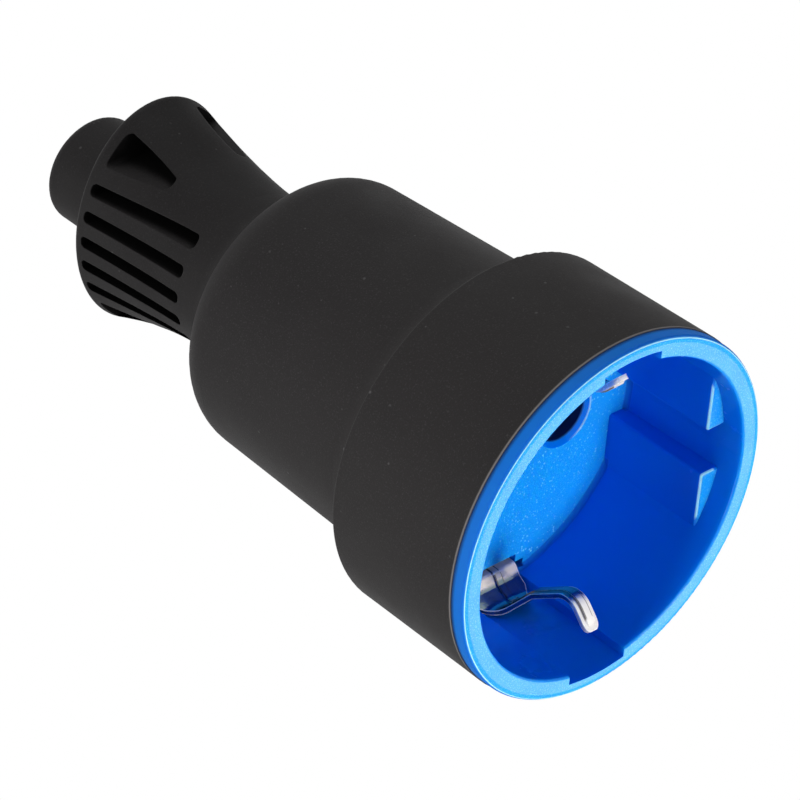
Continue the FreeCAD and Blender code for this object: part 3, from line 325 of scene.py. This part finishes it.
# Distance of the pin holes from the middle, and rings round each of them.
PIN_PLACE = 9.5 * MM
PIN_HOLE_WALL = (3.45 * MM, 3.66 * MM)
PIN_HOLE_EDGE = 4.05 * MM
PIN_EDGE_WIDTH = 0.13 * MM
PIN_OUTER_SIDE = (PIN_PLACE + 1.0 * MM, PIN_PLACE + 3.0 * MM)

# On the earth strip, as heights over the rim.
ROLL = (16.3 * MM, 16.8 * MM)
TONGUE_END = (4.6 * MM, 5.6 * MM)
DARK_LINE_END = (2.85 * MM, 3.10 * MM)
# Distance of each painted dark line's middle from the bead's, and the band beside that middle.
NARROW_DARK_LINE_PLACE = BEAD_FOOT - 0.04 * MM
NARROW_DARK_LINE = (0.03 * MM, 0.12 * MM)
BROAD_DARK_LINE_PLACE = BEAD_FOOT - 0.02 * MM
BROAD_DARK_LINE = (0.08 * MM, 0.20 * MM)
EDGE_REACH = 0.25 * MM


def tone_of(tree, grain):
    """The slow unevenness of a finish, from 0 to 1."""
    return remap(tree, grain.outputs["Mottle"], 0.3, 0.7, 0.0, 1.0)


def rough_of(tree, grain, smoothest, roughest):
    """A roughness that drifts between two values with the slow unevenness."""
    return remap(tree, grain.outputs["Mottle"], 0.25, 0.75, smoothest, roughest)


def rubber_material():
    """Matte black rubber: fine grain, a few dust specks and a thin worn line at the front edge; painted
    light on the sleeve near the rim, painted shade towards the tail and in the slots.
    """
    material, tree, shader = new_material("matte_black_rubber")
    grain = place_group(tree, GRAIN, Scale=5200.0, Slow_scale=110.0)
    dust = place_group(tree, SPECKS, Scale=1500.0, Size=0.34, Share=0.035)
    height = place_of(tree, "Z")
    base = mix_colours(tree, tone_of(tree, grain), RUBBER_BLACK, scaled(RUBBER_BLACK, 1.25))
    grit = remap(tree, grain.outputs["Height"], 0.52, 0.78, 0.0, 0.16)
    base = mix_colours(tree, grit, base, RUBBER_DUST)
    base = mix_colours(tree, times(tree, dust.outputs["Mask"], 0.45), base, RUBBER_DUST)
    # Painted light: the sleeve a little paler near the rim, fading towards the tail.
    sleeve_light = remap(tree, height, *LIT_SLEEVE, 0.019, 0.006)
    base = mix_colours(tree, sleeve_light, base, RUBBER_WORN_AND_LIT)
    # Painted shade: the rubber darkens towards the tail.
    deeper = remap(tree, height, *DARKER_TAIL, 0.0, 0.34)
    base = mix_colours(tree, deeper, base, RUBBER_SHADE)
    front = remap(tree, height, *WORN_FRONT, 0.85, 0.0)
    base = mix_colours(tree, front, base, RUBBER_WORN_AND_LIT)
    # Painted shade: slots and other hollows darkened towards black where little open space lies over
    # them.
    slot_shade = remap(tree, open_share(tree, SLOT_REACH), 0.45, 0.85, 1.0, 0.0)
    base = mix_colours(tree, slot_shade, base, RUBBER_SHADE)
    tree.links.new(base, shader.inputs["Base Color"])
    rough = plus(tree, rough_of(tree, grain, 0.60, 0.72), times(tree, slot_shade, 0.35))
    tree.links.new(rough, shader.inputs["Roughness"])
    shader.inputs["Specular IOR Level"].default_value = 0.10
    shader.inputs["Sheen Weight"].default_value = 0.01
    shader.inputs["Sheen Roughness"].default_value = 0.5
    bump(tree, shader, grain.outputs["Height"], 0.045 * MM, 0.5, edge=0.2 * MM)
    return material


def cup_material():
    """Azure plastic: spark-grained on the faces across the axis and smoother on the walls; painted light
    on the faces and just inside the mouth, painted shade on the walls, with painted glints and painted
    edge highlights.
    """
    material, tree, shader = new_material("azure_moulded_plastic")
    grain = place_group(tree, GRAIN, Scale=5200.0, Slow_scale=150.0)
    glint_specks = place_group(tree, SPECKS, Scale=3300.0, Size=0.60, Share=0.45)
    patches = noise_field(tree, new_node(tree, "ShaderNodeTexCoord").outputs["Object"], 60.0, 2.0, 0.5)
    height = place_of(tree, "Z")
    from_axis = axis_distance(tree, 0.0)
    facing = new_node(tree, "ShaderNodeSeparateXYZ")
    tree.links.new(new_node(tree, "ShaderNodeTexCoord").outputs["Normal"], facing.inputs["Vector"])
    across = remap(tree, maths(tree, "ABSOLUTE", facing.outputs["Z"]), 0.90, 0.99, 0.0, 1.0)
    side_on = minus(tree, 1.0, across)
    # Painted light and shade: faces across the axis get a lighter copy of the blue, the walls a darker
    # one.
    face = mix_colours(tree, tone_of(tree, grain), CUP_LIT_FACE, scaled(CUP_LIT_FACE, 0.92))
    base = mix_colours(tree, across, CUP_SHADED_WALL, face)

    # Painted glints: bright specks on the faces across the axis, thicker towards the recess floor; the
    # grit is the grain's own lighter tone.
    density = times(tree, remap(tree, patches, 0.35, 0.65, 0.20, 1.0),
                    remap(tree, height, *RECESS_DEPTHS, 0.35, 1.0))
    glint = times(tree, glint_specks.outputs["Mask"], density, across)
    base = mix_colours(tree, glint, base, CUP_GRIT_AND_GLINT)
    grit = times(tree, remap(tree, grain.outputs["Height"], 0.50, 0.72, 0.0, 0.55), across,
                 remap(tree, height, *RECESS_DEPTHS, 1.0, 0.4))
    base = mix_colours(tree, grit, base, CUP_GRIT_AND_GLINT)

    # Painted shade: darkened in the corner at the wall's foot, on the flange's outer side next to the
    # rubber, and down the pin holes.
    corner = times(tree, remap(tree, from_axis, *WALL_FOOT, 0.0, 1.0),
                   remap(tree, height, *FLOOR_CORNER, 0.0, 1.0))
    outside = remap(tree, from_axis, *LIP_SIDE, 0.0, 1.0)
    lip_gap_shade = times(tree, outside, remap(tree, height, *LIP_GAP, 0.34, 0.95), side_on)
    from_pins = maths(tree, "MINIMUM", *[axis_distance(tree, side * PIN_PLACE) for side in (1, -1)])
    pin_hole_shade = times(tree, remap(tree, from_pins, *PIN_HOLE_WALL, 1.0, 0.0),
                     remap(tree, height, *PIN_HOLE_DEPTHS, 0.0, 1.0))
    cup_shade = largest(tree, times(tree, corner, 0.22), lip_gap_shade, times(tree, pin_hole_shade, 0.97))
    base = mix_colours(tree, cup_shade, base, CUP_SHADE)

    mouth_glow = times(tree, remap(tree, height, *MOUTH_LIGHT, 0.55, 0.0),
                       remap(tree, from_axis, *MOUTH_WALL, 1.0, 0.0), side_on)
    base = mix_colours(tree, mouth_glow, base, CUP_LIT_FACE)

    # Painted highlights: pale lines along the ribs' front edges, round the lip's outer edge where it
    # faces the rim, and round the outer side of each pin hole.
    from_ribs = maths(tree, "ABSOLUTE", minus(tree, height, RIB_FRONT))
    rib_highlight = times(tree, remap(tree, from_ribs, *RIB_LINE, 0.75, 0.0), side_on,
                     remap(tree, from_axis, *RIB_REACH, 1.0, 0.0))
    towards_rim = remap(tree, facing.outputs["Z"], -0.90, -0.45, 0.85, 0.0)
    outer_edge = times(tree, ring_line(tree, 0.0, LIP_EDGE, LIP_EDGE_WIDTH), towards_rim)
    outer_side = remap(tree, maths(tree, "ABSOLUTE", place_of(tree, "X")), *PIN_OUTER_SIDE, 0.0, 0.6)
    pin_edges = [ring_line(tree, side * PIN_PLACE, PIN_HOLE_EDGE, PIN_EDGE_WIDTH) for side in (1, -1)]
    pin_edge = times(tree, largest(tree, *pin_edges), outer_side)
    edges = largest(tree, rib_highlight, outer_edge, pin_edge)
    tree.links.new(mix_colours(tree, edges, base, CUP_EDGE_HIGHLIGHT), shader.inputs["Base Color"])

    duller = largest(tree, times(tree, across, 0.16), times(tree, cup_shade, 0.5),
                     times(tree, corner, 0.65), times(tree, outside, 0.50))
    tree.links.new(plus(tree, rough_of(tree, grain, 0.22, 0.28), duller), shader.inputs["Roughness"])
    shader.inputs["Specular IOR Level"].default_value = 0.20
    shader.inputs["Subsurface Weight"].default_value = 0.35
    shader.inputs["Subsurface Radius"].default_value = (0.15, 0.6, 1.0)
    shader.inputs["Subsurface Scale"].default_value = 1.2 * MM
    relief = times(tree, grain.outputs["Height"], remap(tree, across, 0.0, 1.0, 0.12, 1.0))
    bump(tree, shader, relief, 0.07 * MM, 0.6, edge=0.12 * MM)
    return material


def metal_material(name, colour, rough):
    material, tree, shader = new_material(name)
    grain = place_group(tree, GRAIN, Scale=2600.0, Slow_scale=240.0)
    base = mix_colours(tree, tone_of(tree, grain), colour, scaled(colour, 0.88))
    tree.links.new(base, shader.inputs["Base Color"])
    shader.inputs["Metallic"].default_value = 1.0
    tree.links.new(rough_of(tree, grain, rough * 0.8, rough * 1.25), shader.inputs["Roughness"])
    bump(tree, shader, grain.outputs["Height"], 0.02 * MM, 0.3, edge=0.08 * MM)
    return material


def nickel_material():
    """Bright nickel plate, grainy: painted highlights at the roll, the tongue's end and the edges,
    painted dark reflections on the arm between and beside the bead.
    """
    material, tree, shader = new_material("bright_nickel_plate")
    grain = place_group(tree, GRAIN, Scale=3200.0, Slow_scale=420.0)
    height = place_of(tree, "Z")
    # Painted highlights at the roll and the tongue's end, warmer at the roll; painted dark reflections on
    # the arm between.
    at_roll = remap(tree, height, *ROLL, 0.0, 1.0)
    pale = largest(tree, at_roll, remap(tree, height, *TONGUE_END, 1.0, 0.0))
    tone = tone_of(tree, grain)
    base = mix_colours(tree, tone, NICKEL, scaled(NICKEL, 0.82))
    base = mix_colours(tree, pale, base, NICKEL_HIGHLIGHT)
    base = mix_colours(tree, times(tree, at_roll, 0.8), base, NICKEL_WARM_HIGHLIGHT)
    dark_reflection = remap(tree, plus(tree, pale, times(tree, tone, 0.15)), 0.0, 0.8, 0.85, 0.0)
    base = mix_colours(tree, dark_reflection, base, NICKEL_DARK_REFLECTION)

    # Painted dark lines beside the bead, standing in for dark reflections on its slopes.
    widening = maths(tree, "POWER", remap(tree, height, NARROWING_END, NARROWING_TOP, 0.0, 1.0, False),
                     NARROWING_CURVE)
    bead_line = minus(tree, BEAD_MIDDLE + TONGUE_SHIFT, times(tree, widening, TONGUE_SHIFT))
    from_bead = minus(tree, place_of(tree, "X"), bead_line)
    narrow = maths(tree, "ABSOLUTE", minus(tree, from_bead, NARROW_DARK_LINE_PLACE))
    narrow = remap(tree, narrow, *NARROW_DARK_LINE, 0.85, 0.0)
    broad = maths(tree, "ABSOLUTE", plus(tree, from_bead, BROAD_DARK_LINE_PLACE))
    broad = remap(tree, broad, *BROAD_DARK_LINE, 0.90, 0.0)
    painted_dark_lines = times(tree, largest(tree, narrow, broad), remap(tree, height, *DARK_LINE_END, 0.0, 1.0))
    base = mix_colours(tree, painted_dark_lines, base, DARK_LINE_REFLECTION)

    # Painted highlights along the strip's outer edges, where the plate is also made less metallic so that
    # it takes the lamps' light.
    edge_highlights = remap(tree, open_share(tree, EDGE_REACH, inside=True), 0.62, 0.85, 0.9, 0.0)
    tree.links.new(mix_colours(tree, edge_highlights, base, NICKEL_HIGHLIGHT), shader.inputs["Base Color"])
    matte_at_highlights = times(tree, largest(tree, edge_highlights, pale), 0.72)
    tree.links.new(minus(tree, 1.0, matte_at_highlights), shader.inputs["Metallic"])
    rough = plus(tree, rough_of(tree, grain, 0.14, 0.22), times(tree, pale, 0.06))
    rough = plus(tree, rough, times(tree, edge_highlights, 0.2))
    tree.links.new(rough, shader.inputs["Roughness"])
    relief = times(tree, grain.outputs["Height"], remap(tree, pale, 0.0, 1.0, 0.25, 1.5))
    bump(tree, shader, relief, 0.06 * MM, 0.8)
    return material


def block_material():
    material, tree, shader = new_material("dark_insulating_plastic")
    grain = place_group(tree, GRAIN, Scale=3600.0, Slow_scale=120.0)
    base = mix_colours(tree, tone_of(tree, grain), BLOCK_GREY, scaled(BLOCK_GREY, 0.85))
    tree.links.new(base, shader.inputs["Base Color"])
    tree.links.new(rough_of(tree, grain, 0.42, 0.52), shader.inputs["Roughness"])
    bump(tree, shader, grain.outputs["Height"], 0.05 * MM, 0.4)
    return material


def dress_nodes():
    finishes = {
        "sleeve_rubber": rubber_material(),
        "cup_plastic": cup_material(),
        "block_plastic": block_material(),
        "contact_brass": metal_material("stamped_contact_brass", BRASS, 0.30),
        "terminal_brass": metal_material("machined_terminal_brass", BRASS, 0.36),
        "spring_steel": metal_material("spring_steel_strip", SPRING_STEEL, 0.32),
        "screw_steel": metal_material("zinc_plated_steel", ZINC, 0.30),
        "earth_nickel": nickel_material(),
    }
    slots = {part["node"]: part["material_slot"] for part in frame["record"]["subparts"]}
    for name, item in frame["nodes"].items():
        item.data.materials.clear()
        item.data.materials.append(finishes[slots[name]])
    return finishes


# Earth strip

def fresh_start():
    if bpy.context.mode != "OBJECT":
        bpy.ops.object.mode_set(mode="OBJECT")
    bpy.ops.object.select_all(action="DESELECT")


def pick_verts(piece, test):
    """Select the vertices that pass the test, with the edges and faces between them."""
    bpy.ops.object.mode_set(mode="OBJECT")
    bpy.ops.object.mode_set(mode="EDIT")
    bpy.ops.mesh.select_mode(type="VERT")
    bpy.ops.mesh.select_all(action="DESELECT")
    bpy.ops.object.mode_set(mode="OBJECT")
    for vert in piece.data.vertices:
        vert.select = test(vert)
    bpy.ops.object.mode_set(mode="EDIT")


def cut_across(spot, normal):
    bpy.ops.mesh.select_all(action="SELECT")
    bpy.ops.mesh.bisect(plane_co=spot, plane_no=normal)


def apply_modifier(piece, kind, **settings):
    fresh_start()
    piece.select_set(True)
    bpy.context.view_layer.objects.active = piece
    modifier = piece.modifiers.new(kind.lower(), kind)
    for name, value in settings.items():
        setattr(modifier, name, value)
    bpy.ops.object.modifier_apply(modifier=modifier.name)


def narrowing(height):
    """How far the arm has narrowed at one height: 0 on the wide part, 1 on the tongue."""
    along = (NARROWING_TOP - height) / (NARROWING_TOP - NARROWING_END)
    along = min(max(along, 0.0), 1.0)
    return 1.0 - (1.0 - along) ** NARROWING_CURVE


def extrude_strip():
    """The flat strip is drawn out from bend to bend, and each bend is rounded later."""
    fresh_start()
    bpy.ops.mesh.primitive_plane_add(size=1.0, location=(0, 0, 0))
    strip = bpy.context.object
    strip.name = "bent_earth_strip"
    first_y, first_z, _ = STRIP_CORNERS[0]
    bpy.ops.object.mode_set(mode="EDIT")
    bpy.ops.mesh.select_all(action="SELECT")
    bpy.ops.transform.translate(value=(0, 0.5, 0))
    bpy.ops.transform.resize(value=(2 * STRIP_HALF, first_y * MM, 1), center_override=(0, 0, 0))
    bpy.ops.transform.translate(value=(0, 0, first_z * MM))
    for offset in LONG_LINES:
        cut_across((BEAD_MIDDLE + offset, 0, 0), (1, 0, 0))
    last = Vector((0, first_y * MM, first_z * MM))
    pick_verts(strip, lambda vert: abs(vert.co.y - last.y) < SAME_ROW)
    for y, z, _ in STRIP_CORNERS[1:]:
        spot = Vector((0, y * MM, z * MM))
        bpy.ops.mesh.extrude_region_move(TRANSFORM_OT_translate={"value": spot - last})
        last = spot
    return strip


def round_bends(strip):
    """Each corner of the drawn strip gets its bend radius."""
    spots = [Vector((0.0, 0.0, STRIP_CORNERS[0][1]))] + [Vector((0.0, y, z)) for y, z, _ in STRIP_CORNERS]
    for index in range(1, len(spots) - 1):
        corner = spots[index]
        turn = (corner - spots[index - 1]).angle(spots[index + 1] - corner)
        trim = STRIP_CORNERS[index - 1][2] * math.tan(turn / 2)
        pick_verts(strip, lambda vert: abs(vert.co.y - corner.y * MM) < 2 * SAME_ROW
                   and abs(vert.co.z - corner.z * MM) < 2 * SAME_ROW)
        bpy.ops.mesh.bevel(offset_type="OFFSET", offset=trim * MM, segments=8, profile=0.5,
                           affect="EDGES", clamp_overlap=False)


def draw_in(strip, row, narrowed, tip_share):
    """Move one row of vertices to its place: each flank shrinks, and the bead's lines shift."""
    reach = BEAD_FOOT + SAME_ROW
    beads = {vert.index for vert in row if abs(vert.co.x - BEAD_MIDDLE) < reach}
    flanks = {side: {vert.index for vert in row if (vert.co.x - BEAD_MIDDLE) * side > reach}
              for side in (1, -1)}
    shift = narrowed * TONGUE_SHIFT
    height = row[0].co.z
    for side, flank in flanks.items():
        wide = STRIP_HALF - side * BEAD_MIDDLE
        foot = BEAD_FOOT * tip_share
        edge = ((1 - narrowed) * (wide - side * shift) + narrowed * TONGUE_HALF) * tip_share
        pick_verts(strip, lambda vert: vert.index in flank)
        bpy.ops.transform.resize(value=((edge - foot) / (wide - BEAD_FOOT), 1, 1),
                                 center_override=(BEAD_MIDDLE + side * BEAD_FOOT, 0, height))
        bpy.ops.transform.translate(value=(shift + side * (foot - BEAD_FOOT), 0, 0))
    pick_verts(strip, lambda vert: vert.index in beads)
    bpy.ops.transform.resize(value=(tip_share, 1, 1), center_override=(BEAD_MIDDLE, 0, height))
    bpy.ops.transform.translate(value=(shift, 0, 0))


def shape_tongue(strip):
    """The free arm narrows to a tongue with a round end."""
    fall = NARROWING_TOP - NARROWING_END
    heights = [NARROWING_TOP - step * fall / NARROWING_STEPS for step in range(NARROWING_STEPS + 1)]
    heights += [TIP_HEIGHT + rise * MM for rise, _ in TIP_ROWS[1:]]
    for height in heights:
        cut_across((0, 0, height), (0, 0, 1))
    bpy.ops.object.mode_set(mode="OBJECT")
    levels = []
    for height in sorted(vert.co.z for vert in strip.data.vertices if vert.co.z < NARROWING_TOP):
        if not levels or height - levels[-1] > SAME_ROW:
            levels.append(height)
    for height in levels:
        bpy.ops.object.mode_set(mode="OBJECT")
        row = [vert for vert in strip.data.vertices
               if -0.1 * SAME_ROW < vert.co.z - height < 1.1 * SAME_ROW]
        near_tip = [share for rise, share in TIP_ROWS
                    if abs(height - TIP_HEIGHT - rise * MM) < 2 * SAME_ROW]
        draw_in(strip, row, narrowing(height), near_tip[0] if near_tip else 1.0)


def on_bead(vert):
    middle = BEAD_MIDDLE + narrowing(vert.co.z) * TONGUE_SHIFT
    beside = abs(vert.co.x - middle) < BEAD_TOP + 2 * SAME_ROW
    return BEAD_END < vert.co.z < BEAD_START and beside


def raise_bead(strip):
    """A bead is pressed up along the arm, towards the plug."""
    bpy.ops.object.mode_set(mode="EDIT")
    bpy.ops.mesh.select_all(action="SELECT")
    bpy.ops.mesh.normals_make_consistent(inside=False)
    pick_verts(strip, on_bead)
    bpy.ops.object.mode_set(mode="OBJECT")
    tip_faces = [face for face in strip.data.polygons if face.center.z < OUTWARD_TURN]
    towards_mouth = sum(face.normal.z for face in tip_faces) < 0
    bpy.ops.object.mode_set(mode="EDIT")
    bpy.ops.transform.shrink_fatten(value=BEAD_RISE if towards_mouth else -BEAD_RISE)


def drill_rivet_hole(strip):
    low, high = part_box("earth_rivet")
    middle = [(a + b) / 2 for a, b in zip(low, high)]
    fresh_start()
    bpy.ops.mesh.primitive_cylinder_add(vertices=48, radius=RIVET_HOLE, depth=4 * MM, location=middle)
    drill = bpy.context.object
    apply_modifier(strip, "BOOLEAN", operation="DIFFERENCE", solver="EXACT", object=drill)
    bpy.data.objects.remove(drill, do_unlink=True)


def build_earth_strip(finishes):
    """One nickel-plated strip behind the floor with a springy beaded tongue at each side."""
    strip = extrude_strip()
    strip.data.materials.append(finishes["earth_nickel"])
    round_bends(strip)
    shape_tongue(strip)
    apply_modifier(strip, "MIRROR", use_axis=(False, True, False), merge_threshold=SAME_ROW)
    raise_bead(strip)
    apply_modifier(strip, "SOLIDIFY", thickness=STRIP_THICKNESS, offset=0.0, use_even_offset=True)
    drill_rivet_hole(strip)
    apply_modifier(strip, "BEVEL", width=EDGE_ROUND, segments=3, limit_method="ANGLE",
                   angle_limit=math.radians(60))
    fresh_start()
    strip.select_set(True)
    bpy.context.view_layer.objects.active = strip
    bpy.ops.object.mode_set(mode="EDIT")
    bpy.ops.mesh.select_all(action="SELECT")
    bpy.ops.mesh.normals_make_consistent(inside=False)
    bpy.ops.object.mode_set(mode="OBJECT")
    bpy.ops.object.shade_smooth_by_angle(angle=math.radians(32))
    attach(strip, "root")
    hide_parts("earth_contact")


# Floor, light and camera

FLOOR_HOLE = 22.15 * MM
FLOOR_LEVEL = 0.22 * MM
FLOOR_SPREAD = 150
FLOOR_GLOW = 0.30
SOFT_LIGHT = 0.14
# Directions and place of the camera, solved from the photograph.
VIEW_RIGHT = Vector((0.735073, -0.073105, -0.674036))
VIEW_UP = Vector((0.339254, -0.821096, 0.459030))
VIEW_BACK = Vector((-0.587005, -0.566090, -0.578764))
CAMERA_PLACE = Vector((-0.306045, -0.292020, -0.267884))
CAMERA_LENS = 209.576
# What the lamps point at.
RIM_MIDDLE = Vector((0.0, 0.0, 0.0))
OBJECT_MIDDLE = Vector((0.0, 0.0, 0.035))


def floor_material():
    """Pale floor, clear from below, a little paler to the camera than by its light."""
    material, tree, pale = new_material("pale_studio_floor")
    pale.inputs["Base Color"].default_value = (*FLOOR_PALE, 1.0)
    pale.inputs["Roughness"].default_value = 0.7
    pale.inputs["Emission Color"].default_value = WHITE
    path = new_node(tree, "ShaderNodeLightPath")
    paler = times(tree, path.outputs["Is Camera Ray"], FLOOR_GLOW)
    tree.links.new(paler, pale.inputs["Emission Strength"])
    clear = new_node(tree, "ShaderNodeBsdfTransparent")
    back = new_node(tree, "ShaderNodeNewGeometry").outputs["Backfacing"]
    mix = new_node(tree, "ShaderNodeMixShader")
    tree.links.new(back, mix.inputs["Fac"])
    tree.links.new(pale.outputs["BSDF"], mix.inputs[1])
    tree.links.new(clear.outputs["BSDF"], mix.inputs[2])
    output = next(node for node in tree.nodes if node.type == "OUTPUT_MATERIAL")
    tree.links.new(mix.outputs["Shader"], output.inputs["Surface"])
    return material


def build_floor():
    """Floor at the rounded edge of the flange, open under it so that light gets into the recess."""
    fresh_start()
    bpy.ops.mesh.primitive_circle_add(vertices=128, radius=FLOOR_HOLE, fill_type="NOTHING")
    floor = bpy.context.object
    floor.name = "pale_floor"
    bpy.ops.object.mode_set(mode="EDIT")
    bpy.ops.mesh.select_all(action="SELECT")
    bpy.ops.mesh.extrude_edges_move()
    bpy.ops.transform.resize(value=(FLOOR_SPREAD, FLOOR_SPREAD, 1), center_override=(0, 0, 0))
    bpy.ops.mesh.select_all(action="SELECT")
    bpy.ops.transform.translate(value=(0, 0, FLOOR_LEVEL))
    bpy.ops.mesh.normals_make_consistent(inside=False)
    bpy.ops.object.mode_set(mode="OBJECT")
    if floor.data.polygons[0].normal.z < 0:
        floor.data.flip_normals()
    floor.data.materials.append(floor_material())


def build_world():
    """White to the eye and in reflections, with a fainter white light on the object."""
    world = bpy.data.worlds.new("white_studio")
    bpy.context.scene.world = world
    world.use_nodes = True
    tree = world.node_tree
    tree.nodes.clear()
    output = new_node(tree, "ShaderNodeOutputWorld")
    soft = new_node(tree, "ShaderNodeBackground")
    soft.inputs["Color"].default_value = WHITE
    soft.inputs["Strength"].default_value = SOFT_LIGHT
    white = new_node(tree, "ShaderNodeBackground")
    white.inputs["Color"].default_value = WHITE
    white.inputs["Strength"].default_value = 1.0
    path = new_node(tree, "ShaderNodeLightPath")
    seen = largest(tree, path.outputs["Is Camera Ray"], path.outputs["Is Glossy Ray"],
                   path.outputs["Is Transmission Ray"])
    mix = new_node(tree, "ShaderNodeMixShader")
    tree.links.new(seen, mix.inputs["Fac"])
    tree.links.new(soft.outputs["Background"], mix.inputs[1])
    tree.links.new(white.outputs["Background"], mix.inputs[2])
    tree.links.new(mix.outputs["Shader"], output.inputs["Surface"])


def add_lamp(name, spot, size, power, aim):
    """Soft square lamp: its side in metres and its power in watts."""
    data = bpy.data.lights.new(name, "AREA")
    data.size = size
    data.energy = power
    lamp = bpy.data.objects.new(name, data)
    bpy.context.scene.collection.objects.link(lamp)
    lamp.location = Vector(spot)
    lamp.rotation_euler = (Vector(spot) - aim).to_track_quat("Z", "Y").to_euler()


def by_view(right, up, back):
    """A place given by the photograph's own right, up and towards-the-viewer directions."""
    return OBJECT_MIDDLE + VIEW_RIGHT * right + VIEW_UP * up + VIEW_BACK * back


def build_lamps():
    add_lamp("mouth_lamp", (0.44, 0.43, -0.46), 0.35, 3.6, RIM_MIDDLE)
    add_lamp("front_lamp", (0.03, 0.03, -0.75), 0.25, 4.8, RIM_MIDDLE)
    add_lamp("side_lamp", by_view(-0.75, -0.38, 0.45), 0.45, 10.0, OBJECT_MIDDLE)
    add_lamp("top_lamp", by_view(0.05, 0.76, 0.25), 0.45, 2.7, OBJECT_MIDDLE)


def build_camera():
    data = bpy.data.cameras.new("photo_camera")
    data.sensor_width = 36.0
    data.lens = CAMERA_LENS
    data.clip_start = 0.01
    camera = bpy.data.objects.new("photo_camera", data)
    bpy.context.scene.collection.objects.link(camera)
    turn = Matrix((VIEW_RIGHT, VIEW_UP, VIEW_BACK)).transposed()
    camera.matrix_world = Matrix.Translation(CAMERA_PLACE) @ turn.to_4x4()
    bpy.context.scene.camera = camera


finishes = dress_nodes()
build_earth_strip(finishes)
build_floor()
build_world()
build_lamps()
build_camera()
bpy.context.scene.view_settings.view_transform = "Standard"

bpy.context.view_layer.update()
